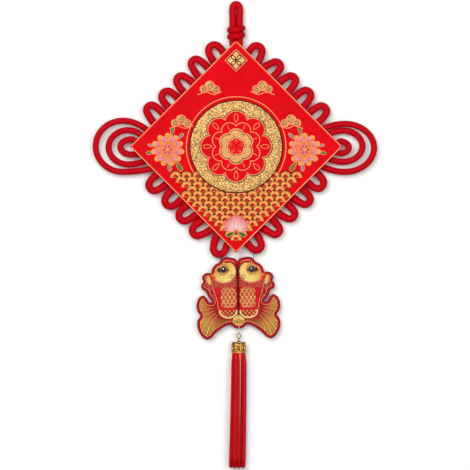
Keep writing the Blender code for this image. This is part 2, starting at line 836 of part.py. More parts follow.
def build_cap():
    """A hollow cap with square shoulders, open below, with a hole for the stem."""
    hole = STEM_R + GAP
    inner = CAP_R - CAP_WALL
    turned("tassel_cap", [
        (hole, CAP_TOP_Z),
        (CAP_R - CAP_SHOULDER, CAP_TOP_Z),
        (CAP_R - CAP_CORNER_WIDE, CAP_TOP_Z - CAP_CORNER_TALL),
        (CAP_R, CAP_TOP_Z - CAP_SHOULDER),
        (CAP_R, CAP_FOOT_Z),
        (inner, CAP_FOOT_Z),
        (inner, CAP_TOP_Z - CAP_SHOULDER),
        (inner - CAP_CORNER_WIDE, CAP_TOP_Z - CAP_WALL - CAP_CORNER_TALL),
        (CAP_R - CAP_SHOULDER, CAP_TOP_Z - CAP_WALL),
        (hole, CAP_TOP_Z - CAP_WALL),
        (hole, CAP_TOP_Z),
    ], GILT_CAP)


def lock_routes():
    """The tassel's locks, on rings, straight down with a slight flare and drift."""
    top = CAP_FOOT_Z - GAP - SKIRT_TALL / 2
    routes = []
    for ring, (radius, count) in enumerate(LOCK_RINGS):
        for number in range(count):
            angle = 2 * math.pi * (number + 0.5 * (ring % 2)) / count
            short = LOCK_UNEVEN * (0.5 + 0.5 * math.sin(2.4 * number + 1.7 * ring)) ** 2
            foot = TASSEL_FOOT_Z + short
            route = []
            for step in range(LOCK_STEPS + 1):
                share = step / LOCK_STEPS
                reach = radius * MM * (1 + TASSEL_FLARE * share)
                drift = TASSEL_X + TASSEL_DRIFT * share ** 1.5
                spot = (drift + reach * math.cos(angle), reach * math.sin(angle))
                route.append((Vector((spot[0], spot[1], top + (foot - top) * share)), 1.0))
            routes.append(route)
    return routes


def build_tassel():
    head_top = CAP_TOP_Z - CAP_WALL - 2 * GAP
    skirt_top = CAP_FOOT_Z - GAP
    head = turned("tassel", [
        (0.0, head_top),
        (HEAD_R - HEAD_CORNER, head_top),
        (HEAD_R, head_top - HEAD_CORNER),
        (HEAD_R, skirt_top),
        (SKIRT_R, skirt_top),
        (SKIRT_R, skirt_top - SKIRT_TALL),
        (0.0, skirt_top - SKIRT_TALL),
    ], TASSEL_SILK, 24)
    locks = curve_to_mesh(curve_of_tubes("locks", lock_routes(), LOCK_R, 0, None))
    add_boolean(head, make_cutter(locks), "UNION")


build_cord()
build_board()
build_face_design()
build_pendant()
build_threads()
build_eye()
build_cap()
build_tassel()
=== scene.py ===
"""The looks of a Chinese knot hanging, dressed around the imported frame.

Metres, +Z up. The face looks along -Y. Places on the board are given across and up
from the board's centre, and places on the pendant from a point in its seam, in mm.
"""

import math
import random

import bpy
import numpy as np
from mathutils import Matrix, Vector
from mathutils.geometry import delaunay_2d_cdt


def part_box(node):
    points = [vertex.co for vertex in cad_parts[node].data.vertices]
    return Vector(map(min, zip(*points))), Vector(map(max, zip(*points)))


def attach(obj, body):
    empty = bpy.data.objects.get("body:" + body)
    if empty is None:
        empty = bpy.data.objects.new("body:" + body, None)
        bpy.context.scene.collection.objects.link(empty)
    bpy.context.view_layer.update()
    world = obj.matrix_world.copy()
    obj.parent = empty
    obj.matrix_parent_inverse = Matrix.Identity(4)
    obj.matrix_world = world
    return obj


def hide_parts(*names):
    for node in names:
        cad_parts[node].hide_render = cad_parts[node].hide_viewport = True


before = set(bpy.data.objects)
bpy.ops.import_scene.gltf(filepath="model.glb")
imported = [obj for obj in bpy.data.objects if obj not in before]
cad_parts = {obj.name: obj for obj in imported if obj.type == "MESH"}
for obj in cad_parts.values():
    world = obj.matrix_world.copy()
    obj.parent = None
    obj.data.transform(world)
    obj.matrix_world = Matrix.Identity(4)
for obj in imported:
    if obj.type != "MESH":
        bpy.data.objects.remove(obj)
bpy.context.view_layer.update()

MM = 0.001
GAP = 0.3 * MM

# The cord. Its loops are thicker here than the part's
CORD_R = 4.25 * MM
LOOP_R = 5.0 * MM
LATTICE_R = 3.4 * MM
LAYER = LATTICE_R + 0.5 * GAP
PAIRS = 7
PAIR_STEP = 28.5 * MM
STRAND_STEP = 8.7 * MM
FLAT_HALF = 7.2 * MM
CHANGE_STEP = 3.3 * MM
CORNER_REACH = 1.5 * MM
CORD_SIDES = 16
CORD_RING_STEP = 2.4 * MM

# The board
BOARD_SIDE = 200 * MM
BOARD_HALF = BOARD_SIDE / 2
CENTRE_DROP = 186 * MM
BOARD_CORNER = BOARD_SIDE / math.sqrt(2)
BOARD_FRONT_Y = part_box("face_board")[0].y

# How far the strands lean and lie aside
FALLING_SLANT = 3.3 * MM
RISING_SHIFT = 3.05 * MM

# For each pair, the crossing after which its two strands change places
FALLING_CHANGES = {0: 3, 1: 1, 2: 4, 3: 2, 4: 3, 5: 4}
RISING_CHANGES = {1: 3, 2: 2, 3: 4, 4: 1}

# Edge loops from the upper end of each edge down: lean, reach and half width, in mm
LOOPS = {
    "upper_left": [(-4.0, 18.9, 8.2), (-1.3, 22.5, 7.1), (0.0, 20.5, 7.2),
                   (0.0, 19.6, 8.2), (-1.5, 21.2, 7.2)],
    "upper_right": [(-5.0, 16.6, 7.8), (2.0, 19.5, 7.0), (0.4, 20.5, 7.1),
                    (-0.4, 21.1, 7.4), (1.2, 21.2, 7.5)],
    "lower_left": [(-2.0, 20.5, 8.0), (0.0, 20.2, 8.1), (-2.3, 20.9, 7.8),
                   (-4.8, 22.2, 7.4), (9.0, 19.0, 8.1)],
    "lower_right": [(-0.7, 18.7, 8.3), (-2.0, 21.3, 7.4), (-2.4, 20.5, 7.4),
                    (-1.7, 21.2, 6.9), (4.0, 18.3, 7.5)],
}
FIRST_LOOP_STRAND = {"upper_left": 1, "upper_right": 1, "lower_left": 3, "lower_right": 3}
HEAD_STEPS = 5
LEG_PINCH = 0.9 * MM
SHOULDER_STEP = 7 * MM

# Ears, outermost first: centre across and up, half width, half height, where the legs
# pass the board's upper and lower edge, all in mm, and the steps round the ear
EARS = {
    "left": [
        (-150.8, 0.8, 36.5, 34.1, 32.0, 40.6, 12),
        (-143.5, -0.4, 26.5, 22.9, 21.3, 26.8, 10),
        (-140.1, 0.0, 14.4, 10.1, 10.7, 14.0, 8),
    ],
    "right": [
        (145.2, -1.3, 38.7, 32.0, 34.7, 37.2, 12),
        (142.5, 0.9, 25.9, 20.9, 24.2, 23.0, 10),
        (138.5, -0.7, 12.0, 8.1, 7.5, 10.2, 8),
    ],
}

# The hanging loop and the wrapped knot
HANGER_SPREAD = 4.5 * MM
HANGER_FOOT = 138 * MM
HANGER_STEP = 11 * MM
HANGER_ROOT = 7 * MM
HANGER_ROOT_R = 0.9 * CORD_R
HANGER_R = 4.65 * MM
HANGER_HEAD_STEPS = 6
WRAP_HEIGHTS = (148.2 * MM, 157.0 * MM)
WRAP_WIDE = 7.7 * MM
WRAP_DEEP = 6.5 * MM
WRAP_R = 4.7 * MM
WRAP_TILT = 0.17
WRAP_STEPS = 56
WRAP_SLIP = 1.1 * MM

# The pendant
PENDANT_X = 2.8 * MM
PENDANT_Z = -386.9 * MM
PENDANT_TILT = math.radians(1.2)
PENDANT_EDGE = 1.0
PENDANT_FLANGE = 3.2
PENDANT_CROWN = 7.4
PENDANT_RISE = 14.0
SEAM_SOFTNESS = 3.6
PENDANT_GRID = 0.8
PENDANT_OUTLINE = [
    (0.0, 48.5), (2.4, 51.6), (7.7, 53.3), (17.7, 53.7), (22.0, 50.4), (23.7, 47.9),
    (29.1, 45.0), (33.5, 39.6), (35.7, 33.6),
    (40.4, 33.9), (46.1, 31.0), (47.7, 26.3), (46.1, 22.3), (49.1, 17.3), (47.7, 11.7),
    (43.1, 9.1), (41.5, 5.4), (38.4, -0.4), (34.6, -5.4),
    (38.1, -5.9), (42.1, 0.0), (46.4, 3.8), (51.7, 1.3), (55.3, -5.9), (55.9, -12.5),
    (53.7, -19.1), (50.9, -23.5),
    (54.4, -28.4), (55.6, -35.2), (53.7, -43.8), (48.8, -51.7), (42.4, -55.3),
    (37.1, -53.2), (31.1, -47.0), (23.1, -40.9), (15.1, -36.7), (10.4, -36.1),
    (7.5, -39.0), (3.7, -40.9), (0.0, -41.5),
]

# The threads
THREAD_R = 0.5 * MM
TIE_HOLES = {"tie_left": (-20.5 * MM, 48.5 * MM), "tie_right": (20.5 * MM, 48.5 * MM)}
TIE_CORDS = {"tie_left": (-21.0 * MM, -329.5 * MM), "tie_right": (24.5 * MM, -324.1 * MM)}
TIE_REACH = 5.5 * MM
HANGER_HOLE_UP = -38.7 * MM

# The gilt eye, the cap and the tassel
TASSEL_X = 3.4 * MM
EYE_Z = -437.8 * MM
EYE_WIDE = 2.5 * MM
EYE_TALL = 3.5 * MM
EYE_WIRE_R = 0.8 * MM
COLLAR_R = 2.3 * MM
COLLAR_TALL = 1.8 * MM
NECK_R = 1.3 * MM
CAP_TOP_Z = -446.4 * MM
CAP_FOOT_Z = -460.6 * MM
CAP_R = 9.5 * MM
CAP_WALL = 0.9 * MM
TASSEL_FOOT_Z = -614.4 * MM
TASSEL_DRIFT = -2.4 * MM


def srgb(red, green, blue):
    """A colour as it looks on screen, turned into the linear values that shaders take."""
    channels = []
    for value in (red, green, blue):
        share = value / 255
        channels.append(share / 12.92 if share <= 0.04045 else ((share + 0.055) / 1.055) ** 2.4)
    return tuple(channels)


CORD_RED = srgb(202, 0, 20)
CORD_DARK = srgb(126, 0, 14)
GOLD = srgb(236, 192, 98)
CREAM = srgb(252, 232, 168)
ORANGE = srgb(238, 112, 36)
LEAF_GREEN = srgb(46, 122, 52)
SLATE_BLUE = srgb(122, 132, 150)
MAROON = srgb(116, 6, 20)
NEAR_BLACK = srgb(18, 10, 14)
WHITE = srgb(250, 248, 244)


# Materials

def new_material(name):
    material = bpy.data.materials.new(name)
    material.use_nodes = True
    return material, material.node_tree, material.node_tree.nodes["Principled BSDF"]


def link_up(name, data):
    """A new object in the scene."""
    made = bpy.data.objects.new(name, data)
    bpy.context.scene.collection.objects.link(made)
    return made


def put_in(tree, node, inputs):
    """Fills a node's inputs, each with another node's output or with a value."""
    for key, value in inputs.items():
        if isinstance(value, bpy.types.NodeSocket):
            tree.links.new(value, node.inputs[key])
        else:
            node.inputs[key].default_value = value


def add_node(tree, kind, inputs=None, **values):
    node = tree.nodes.new(kind)
    for key, value in values.items():
        setattr(node, key, value)
    put_in(tree, node, inputs or {})
    return node


def math_node(tree, operation, *values):
    return add_node(tree, "ShaderNodeMath", dict(enumerate(values)), operation=operation).outputs[0]


def noise(tree, scale, detail=3.0, roughness=0.5):
    """Noise in the object's own metres."""
    place = add_node(tree, "ShaderNodeTexCoord").outputs["Object"]
    inputs = {"Scale": scale, "Detail": detail, "Roughness": roughness, "Vector": place}
    return add_node(tree, "ShaderNodeTexNoise", inputs).outputs["Fac"]


def ramp(tree, value, stops):
    """A colour ramp of (position, colour) stops."""
    node = add_node(tree, "ShaderNodeValToRGB", {"Fac": value})
    elements = node.color_ramp.elements
    for element, (position, colour) in ((elements[0], stops[0]), (elements[1], stops[-1])):
        element.position = position
        element.color = (*colour, 1.0)
    for position, colour in stops[1:-1]:
        elements.new(position).color = (*colour, 1.0)
    return node.outputs["Color"]


def blend_colours(tree, share, first, second, mode="MIX"):
    node = add_node(tree, "ShaderNodeMix", {}, data_type="RGBA", blend_type=mode)
    colours = [n for n, socket in enumerate(node.inputs) if socket.type == "RGBA"]
    second = (*second, 1.0) if isinstance(second, tuple) else second
    put_in(tree, node, {0: share, colours[0]: first, colours[1]: second})
    return [socket for socket in node.outputs if socket.type == "RGBA"][0]


def dress(tree, shader, inputs, height, distance, strength=1.0):
    """Fills the shader's inputs and raises its surface a little by height."""
    raised = add_node(tree, "ShaderNodeBump", {"Distance": distance, "Strength": strength, "Height": height})
    put_in(tree, shader, {**inputs, "Normal": raised.outputs["Normal"]})


def darker(colour, share):
    return tuple(channel * share for channel in colour)


def velvet(name, colour, sheen):
    """Short pile: brushed in patches, with fine grain and a soft sheen."""
    material, tree, shader = new_material(name)
    grain = noise(tree, 2600.0, 2.0)
    base = ramp(tree, noise(tree, 38.0, 2.0), [(0.30, darker(colour, 0.86)), (0.70, colour)])
    share = math_node(tree, "MULTIPLY", grain, 0.35)
    dress(tree, shader, {
        "Base Color": blend_colours(tree, share, base, darker(colour, 0.55)),
        "Roughness": 0.85,
        "Specular IOR Level": 0.08,
        "Sheen Weight": sheen,
        "Sheen Roughness": 0.45,
        "Sheen Tint": (1.0, 0.12, 0.10, 1.0),
    }, grain, 0.25 * MM)
    return material


def slanted(tree, plies, pitch, ways):
    """Waves that run slanted round a cord, from the map along it."""
    spot = add_node(tree, "ShaderNodeUVMap", uv_map="around_along")
    parts = add_node(tree, "ShaderNodeSeparateXYZ", {0: spot.outputs["UV"]})
    around = math_node(tree, "MULTIPLY", parts.outputs["X"], 2 * math.pi * plies)
    along = math_node(tree, "MULTIPLY", parts.outputs["Y"], 2 * math.pi / pitch)
    return [math_node(tree, "SINE", math_node(tree, way, around, along)) for way in ways]


def satin_cord_material():
    """Twilled satin: fine slanted threads round the cord, with a silky highlight."""
    material, tree, shader = new_material("satin_cord")
    weave = math_node(tree, "MAXIMUM", *slanted(tree, 14, 4.2 * MM, ("ADD", "SUBTRACT")))
    lifted = math_node(tree, "MULTIPLY_ADD", weave, 0.5, 0.5)
    base = ramp(tree, noise(tree, 260.0), [(0.25, darker(CORD_RED, 0.80)), (0.75, CORD_RED)])
    threads = ramp(tree, lifted, [(0.15, CORD_DARK), (0.75, CORD_RED)])
    dress(tree, shader, {
        "Base Color": blend_colours(tree, 0.45, base, threads),
        "Roughness": 0.40,
        "Specular IOR Level": 0.22,
        "Specular Tint": (1.0, 0.25, 0.30, 1.0),
    }, lifted, 0.22 * MM)
    return material


def glitter_gold(name, light, middle, dark, cell):
    """Gold stamping on cloth: bright flakes parted by a dark brown net."""
    material, tree, shader = new_material(name)
    place = add_node(tree, "ShaderNodeTexCoord").outputs["Object"]
    warp = add_node(tree, "ShaderNodeTexNoise", {"Scale": 0.6 / cell, "Vector": place}).outputs["Color"]
    shifted = add_node(tree, "ShaderNodeVectorMath", {0: warp, 1: (1.6 * cell,) * 3, 2: place},
                       operation="MULTIPLY_ADD").outputs[0]
    cells = add_node(tree, "ShaderNodeTexVoronoi", {"Scale": 1 / cell, "Vector": shifted},
                     feature="DISTANCE_TO_EDGE").outputs["Distance"]
    light, middle, dark = srgb(*light), srgb(*middle), srgb(*dark)
    net = ramp(tree, cells, [(0.06, dark), (0.15, middle), (0.30, light)])
    patches = ramp(tree, noise(tree, 120.0, 2.0), [(0.35, darker(middle, 0.8)), (0.7, light)])
    dress(tree, shader, {
        "Base Color": blend_colours(tree, 0.22, net, patches),
        "Roughness": 0.42,
        "Metallic": 0.25,
        "Specular IOR Level": 0.5,
    }, cells, 0.5 * MM, 0.8)
    return material


def foil_line():
    """The peach gold outline: smooth foil with a little wear."""
    material, tree, shader = new_material("peach_gold_line")
    worn = noise(tree, 900.0)
    base = ramp(tree, worn, [(0.30, srgb(238, 120, 70)), (0.62, srgb(255, 158, 108))])
    dress(tree, shader, {"Base Color": base, "Roughness": 0.38, "Metallic": 0.15}, worn, 0.08 * MM)
    return material


def painted(tree, grain, stops):
    """The colours painted on a mesh's points, shaded a little by a grain."""
    paint = add_node(tree, "ShaderNodeAttribute", attribute_name="paint")
    return blend_colours(tree, 1.0, paint.outputs["Color"], ramp(tree, grain, stops), "MULTIPLY")


def printed_cloth(name, roughness, sheen):
    """Printed cloth with grain and slight unevenness."""
    material, tree, shader = new_material(name)
    uneven = noise(tree, 420.0, 4.0)
    dress(tree, shader, {
        "Base Color": painted(tree, uneven, [(0.30, (0.74, 0.70, 0.68)), (0.62, (1.0, 1.0, 1.0))]),
        "Roughness": roughness,
        "Specular IOR Level": 0.15,
        "Sheen Weight": sheen,
        "Sheen Roughness": 0.5,
    }, noise(tree, 2200.0, 2.0), 0.2 * MM)
    return material


def thread_material(name, colour, roughness=0.55):
    """Twisted thread: slanted plies along its length."""
    material, tree, shader = new_material(name)
    lifted = math_node(tree, "MULTIPLY_ADD", *slanted(tree, 3, 1.6 * MM, ("ADD",)), 0.5, 0.5)
    base = ramp(tree, lifted, [(0.1, darker(colour, 0.6)), (0.8, colour)])
    dress(tree, shader, {"Base Color": base, "Roughness": roughness}, lifted, 0.15 * MM)
    return material


def silk_material():
    """The tassel's silk, in the colours painted on its strands: bright strands beside dark ones, partly
    painted shade in the grooves between clumps, and a long painted highlight.
    """
    material, tree, shader = new_material("tassel_silk")
    fine = noise(tree, 700.0, 2.0)
    dress(tree, shader, {
        "Base Color": painted(tree, fine, [(0.3, (0.70, 0.70, 0.72)), (0.7, (1.0, 1.0, 1.0))]),
        "Roughness": 0.34,
        "Specular IOR Level": 0.35,
        "Specular Tint": (1.0, 0.45, 0.50, 1.0),
    }, fine, 0.1 * MM)
    return material


def gilt(name, bright, worn):
    """Cast gilt metal, dull brown in patches spread by a noise."""
    material, tree, shader = new_material(name)
    rubbed = noise(tree, 500.0, 4.0, 0.6)
    dress(tree, shader, {
        "Base Color": ramp(tree, rubbed, [(0.32, worn), (0.60, bright)]),
        "Roughness": ramp(tree, rubbed, [(0.3, (0.55,) * 3), (0.7, (0.28,) * 3)]),
        "Metallic": 0.9,
    }, rubbed, 0.12 * MM)
    return material


def closed_faces(faces, rim, count):
    """Faces of a solid with count points in front and as many behind."""
    behind = [tuple(count + n for n in reversed(face)) for face in faces]
    return faces + behind + [(start, count + start, count + end, end) for start, end in rim]


VELVET = velvet("board_velvet", srgb(232, 8, 22), 0.12)
PETAL_VELVET = velvet("blossom_velvet", srgb(232, 8, 24), 0.12)
SATIN = satin_cord_material()
DISC_GOLD = glitter_gold("disc_gold", (242, 200, 110), (214, 152, 66), (74, 36, 8), 3.3 * MM)
HEART_GOLD = glitter_gold("heart_gold", (246, 208, 122), (226, 150, 66), (150, 70, 24), 1.5 * MM)
EMBLEM_GOLD = glitter_gold("emblem_gold", (250, 222, 140), (232, 176, 92), (150, 84, 34), 2.2 * MM)
FOIL = foil_line()
BROWN_LINE = velvet("brown_outline", srgb(92, 14, 8), 0.0)
PRINT = printed_cloth("board_print", 0.7, 0.03)
PLUSH = printed_cloth("pendant_plush", 0.62, 0.04)
DARK_THREAD = thread_material("dark_red_thread", srgb(96, 10, 20))
PALE_THREAD = thread_material("pale_thread", srgb(238, 224, 190), 0.4)
SILK = silk_material()
EYE_GILT = gilt("eye_gilt", srgb(226, 196, 130), srgb(150, 112, 56))
CAP_GILT = gilt("cap_gilt", srgb(255, 216, 118), srgb(214, 146, 56))
# A dark copy of the cap's gilt: painted shade for the openwork's recesses between the wires
CAP_SHADE = gilt("cap_shade", srgb(104, 62, 20), srgb(40, 20, 8))


# Meshes

class Pieces:
    """Collects tubes and pads, and makes one mesh of them."""

    def __init__(self):
        self.verts = []
        self.faces = []
        self.places = []
        self.mapped = False
        self.paint = []

    def add(self, verts, faces, places=None, paint=None):
        base = sum(len(block) for block in self.verts)
        self.verts.append(np.asarray(verts, float))
        self.faces += [tuple(base + n for n in face) for face in faces]
        self.mapped = self.mapped or places is not None
        if places is None:
            places = [[(0.0, 0.0)] * len(face) for face in faces]
        self.places += places
        if paint is None:
            paint = (1.0, 1.0, 1.0)
        self.paint.append(np.broadcast_to(np.asarray(paint, float), (len(verts), 3)))

    def build(self, name, material, slot, replaced=(), sharp=55, painted=False):
        verts = np.vstack(self.verts)
        mesh = bpy.data.meshes.new(name)
        mesh.from_pydata(verts.tolist(), [], self.faces)
        if self.mapped:
            layer = mesh.uv_layers.new(name="around_along")
            flat = [value for face in self.places for corner in face for value in corner]
            layer.uv.foreach_set("vector", flat)
        if painted:
            layer = mesh.color_attributes.new("paint", "FLOAT_COLOR", "POINT")
            colours = np.hstack([np.vstack(self.paint), np.ones((len(verts), 1))])
            layer.data.foreach_set("color", colours.astype(np.float32).ravel())
        mesh.shade_smooth()
        mesh.set_sharp_from_angle(angle=math.radians(sharp))
        mesh.materials.append(material)
        piece = bpy.data.objects.new(name, mesh)
        bpy.context.scene.collection.objects.link(piece)
        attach(piece, "root")
        if replaced:
            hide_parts(*replaced)
        return piece


def smooth_line(points, per_step, closed):
    """A smooth curve through the points, with per_step points from each one to the next."""
    points = np.asarray(points, float)
    count = len(points)
    if closed:
        before = np.roll(points, 1, axis=0)
        after = np.roll(points, -1, axis=0)
        beyond = np.roll(points, -2, axis=0)
        starts = points
    else:
        padded = np.vstack([2 * points[0] - points[1], points, 2 * points[-1] - points[-2]])
        before, starts, after, beyond = padded[:-3], padded[1:-2], padded[2:-1], padded[3:]
        count -= 1
    share = (np.arange(per_step) / per_step)[None, :, None]
    before, starts, after, beyond = (block[:count, None, :] for block in (before, starts, after, beyond))
    lengths = [np.maximum(np.linalg.norm(end - start, axis=2, keepdims=True), 1e-9)
               for start, end in ((before, starts), (starts, after), (after, beyond))]
    leaving = ((starts - before) / lengths[0] * lengths[1] + (after - starts) / lengths[1] * lengths[0])
    leaving *= lengths[1] / (lengths[0] + lengths[1])
    arriving = ((after - starts) / lengths[1] * lengths[2] + (beyond - after) / lengths[2] * lengths[1])
    arriving *= lengths[1] / (lengths[1] + lengths[2])
    curve = (starts * (2 * share ** 3 - 3 * share ** 2 + 1) + after * (3 * share ** 2 - 2 * share ** 3)
             + leaving * (share ** 3 - 2 * share ** 2 + share) + arriving * (share ** 3 - share ** 2))
    curve = curve.reshape(-1, points.shape[1])
    return curve if closed else np.vstack([curve, points[-1:]])


def evenly(points, step, closed):
    """The same line with points about a step apart. Columns after the third go along."""
    if closed:
        points = np.vstack([points, points[:1]])
    lengths = np.linalg.norm(np.diff(points[:, :3], axis=0), axis=1)
    reached = np.concatenate([[0.0], np.cumsum(lengths)])
    count = max(int(round(reached[-1] / step)), 3)
    wanted = np.linspace(0.0, reached[-1], count + 1)
    spread = np.column_stack([np.interp(wanted, reached, points[:, n]) for n in range(points.shape[1])])
    return spread[:-1] if closed else spread


def tube(pieces, points, radius, sides=8, closed=False, paint=None, flat=1.0):
    """A round tube along a line. radius is one number or one for each point.
    flat under 1 makes it shallower from front to back."""
    points = np.asarray(points, float)
    count = len(points)
    radii = np.broadcast_to(np.asarray(radius, float), (count,))
    if closed:
        heading = np.roll(points, -1, axis=0) - np.roll(points, 1, axis=0)
    else:
        heading = np.gradient(points, axis=0)
    heading /= np.maximum(np.linalg.norm(heading, axis=1, keepdims=True), 1e-12)
    first = np.cross(heading[0], (0.0, 1.0, 0.0))
    if np.linalg.norm(first) < 1e-3:
        first = np.cross(heading[0], (1.0, 0.0, 0.0))
    first /= np.linalg.norm(first)
    sideways = [first]
    for n in range(1, count):
        carried = sideways[-1] - heading[n] * np.dot(sideways[-1], heading[n])
        sideways.append(carried / max(np.linalg.norm(carried), 1e-12))
    sideways = np.array(sideways)
    if closed:
        end = sideways[-1] - heading[0] * np.dot(sideways[-1], heading[0])
        end /= np.linalg.norm(end)
        twist = math.atan2(np.dot(np.cross(end, first), heading[0]), np.dot(end, first))
        turns = twist * np.arange(count) / count
        other = np.cross(heading, sideways)
        sideways = sideways * np.cos(turns)[:, None] + other * np.sin(turns)[:, None]
    other = np.cross(heading, sideways)
    angles = 2 * np.pi * np.arange(sides) / sides
    offsets = (sideways[:, None, :] * np.cos(angles)[None, :, None]
               + other[:, None, :] * np.sin(angles)[None, :, None]) * radii[:, None, None]
    offsets[:, :, 1] *= flat
    verts = (points[:, None, :] + offsets).reshape(-1, 3)
    lengths = np.linalg.norm(np.diff(points, axis=0), axis=1)
    reached = np.concatenate([[0.0], np.cumsum(lengths)])
    if closed:
        reached = np.append(reached, reached[-1] + np.linalg.norm(points[0] - points[-1]))
    faces = []
    places = []
    for n in range(count if closed else count - 1):
        here = n * sides
        ahead = ((n + 1) % count) * sides
        for side in range(sides):
            beside = (side + 1) % sides
            faces.append((here + side, here + beside, ahead + beside, ahead + side))
            low = side / sides
            high = (side + 1) / sides
            places.append(((low, reached[n]), (high, reached[n]),
                           (high, reached[n + 1]), (low, reached[n + 1])))
    if not closed:
        last = (count - 1) * sides
        faces.append(tuple(range(sides - 1, -1, -1)))
        faces.append(tuple(range(last, last + sides)))
        places.append(tuple((0.5, reached[0]) for _ in range(sides)))
        places.append(tuple((0.5, reached[-1]) for _ in range(sides)))
    pieces.add(verts, faces, places, paint)


def distances(spots, outline):
    """How far each spot lies from a closed outline."""
    starts = outline
    lines = np.roll(outline, -1, axis=0) - outline
    squares = np.maximum((lines ** 2).sum(1), 1e-12)
    nearest = np.full(len(spots), np.inf)
    for start, line, square in zip(starts, lines, squares):
        share = np.clip(((spots - start) @ line) / square, 0.0, 1.0)
        gap = spots - (start + share[:, None] * line)
        nearest = np.minimum(nearest, (gap ** 2).sum(1))
    return np.sqrt(nearest)


def inside(spots, outline):
    """Which of the spots lie inside a closed outline."""
    found = np.zeros(len(spots), bool)
    for start, end in zip(outline, np.roll(outline, -1, axis=0)):
        crosses = (start[1] > spots[:, 1]) != (end[1] > spots[:, 1])
        if start[1] == end[1]:
            continue
        edge = start[0] + (spots[:, 1] - start[1]) / (end[1] - start[1]) * (end[0] - start[0])
        found ^= crosses & (spots[:, 0] < edge)
    return found


def filled(outline, step, margin=0.6):
    """A shape filled with triangles: its points, its triangles and its border's edges."""
    low = outline.min(0)
    high = outline.max(0)
    row_step = step * math.sqrt(3) / 2
    rows = int((high[1] - low[1]) / row_step) + 1
    columns = int((high[0] - low[0]) / step) + 2
    grid = np.array([
        (low[0] + (column + 0.5 * (row % 2) - 0.5) * step, low[1] + row * row_step)
        for row in range(rows) for column in range(columns)
    ])
    grid = grid[inside(grid, outline)]
    grid = grid[distances(grid, outline) > margin * step] if len(grid) else grid
    spots = [Vector(point) for point in outline] + [Vector(point) for point in grid]
    border = [(n, (n + 1) % len(outline)) for n in range(len(outline))]
    meshed = delaunay_2d_cdt(spots, border, [], 1, 1e-6)
    flat = np.array([tuple(point) for point in meshed[0]])
    faces = [tuple(face) for face in meshed[2]]
    directed = {(face[n], face[(n + 1) % len(face)]) for face in faces for n in range(len(face))}
    rim = [edge for edge in directed if (edge[1], edge[0]) not in directed]
    return flat, faces, sorted(rim)


def onto_board(flat, depth):
    """Points across and up in mm, put at a depth in metres."""
    return np.column_stack([flat[:, 0] * MM, depth, flat[:, 1] * MM - CENTRE_DROP])


def pad(pieces, outline, back_y, thick, step=1.6, crown=0.3, edge=0.8, paint=None, height=None):
    """A padded shape of an outline in mm: a rounded edge and a slight crown.
    height, where given, adds mm to each spot's height."""
    outline = np.asarray(outline, float)
    area = np.sum(outline[:, 0] * np.roll(outline[:, 1], -1) - np.roll(outline[:, 0], -1) * outline[:, 1])
    flat, faces, rim = filled(outline[::-1] if area < 0 else outline, step)
    inward = distances(flat, outline)
    rounded = np.sqrt(1 - (1 - np.clip(inward / edge, 0, 1)) ** 2)
    raised = thick * (0.45 + 0.55 * rounded) + crown * np.clip(inward / (6 * edge), 0, 1)
    if height is not None:
        raised = raised + height(flat)
    colours = None if paint is None else np.vstack([paint(flat)] * 2)
    verts = np.vstack([onto_board(flat, back_y - raised * MM), onto_board(flat, np.full(len(flat), back_y))])
    pieces.add(verts, closed_faces(faces, rim, len(flat)), None, colours)


def board_line(pieces, outline, depth, width, closed=True, sides=8):
    """A raised line on the board along points across and up in mm."""
    outline = np.asarray(outline, float)
    points = onto_board(outline, np.full(len(outline), depth))
    tube(pieces, points, width / 2 * MM, sides, closed, None, 0.7)


def from_top(centre, reach, turn):
    """The point at a reach from a centre, its turn measured from straight up."""
    return (centre[0] + reach * math.sin(turn), centre[1] + reach * math.cos(turn))


def turns(count, shift=0.0):
    return [2 * math.pi * (n + shift) / count for n in range(count)]


# Shapes in the plane, in mm

MIDDLE = (0.0, 0.0)
SIXTHS = [n / 6 for n in range(6)]


def circle(centre, radius, steps=48):
    return [(centre[0] + radius * math.cos(2 * math.pi * n / steps),
             centre[1] + radius * math.sin(2 * math.pi * n / steps)) for n in range(steps)]


def flower(radius, petals, notch, turn=0.0, steps=96):
    """A flower's outline, its first petal turned from straight up."""
    lobes = [1 - notch + notch * abs(math.cos(petals * angle / 2)) ** 0.6 for angle in turns(steps)]
    return [from_top(MIDDLE, radius * lobe, angle + turn) for lobe, angle in zip(lobes, turns(steps))]


def drop(base, length, width, turn, steps=28, sharpness=1.0):
    """A petal or leaf: from its base outward along turn, measured from straight up."""
    points = []
    for step in range(steps):
        angle = 2 * math.pi * step / steps
        along = length * (0.5 - 0.5 * math.cos(angle))
        aside = 0.5 * width * math.sin(angle) * (0.5 - 0.5 * math.cos(angle)) ** (0.35 * sharpness)
        points.append((base[0] + along * math.sin(turn) + aside * math.cos(turn),
                       base[1] + along * math.cos(turn) - aside * math.sin(turn)))
    return points


def spiral(centre, radius, turns, start, hand=1, steps=40):
    """A curl from its outer end to its middle."""
    points = []
    for step in range(steps + 1):
        share = step / steps
        angle = start + hand * 2 * math.pi * turns * share
        reach = radius * (1 - 0.86 * share)
        points.append((centre[0] + reach * math.cos(angle), centre[1] + reach * math.sin(angle)))
    return points


# The camera: face on, the photo's frame 626.7 mm wide at the cord

VIEW_WIDTH = 626.7 * MM
VIEW_CENTRE = Vector((-1.5 * MM, 0.0, -303.5 * MM))
CAMERA_AWAY = 4.0
SENSOR = 36.0

camera_data = bpy.data.cameras.new("camera")
camera_data.sensor_width = SENSOR
camera_data.lens = SENSOR * CAMERA_AWAY / VIEW_WIDTH
camera_data.clip_end = 50.0
camera = bpy.data.objects.new("camera", camera_data)
bpy.context.scene.collection.objects.link(camera)
camera.location = VIEW_CENTRE + Vector((0.0, -CAMERA_AWAY, 0.0))
camera.rotation_euler = (math.pi / 2, 0.0, 0.0)
bpy.context.scene.camera = camera


# The cord's route, as in the part: rise runs up to the right, fall down to the right

def place(rise, fall, depth):
    across = (rise + fall) / math.sqrt(2)
    up = (rise - fall) / math.sqrt(2)
    return (across, depth, up - CENTRE_DROP)


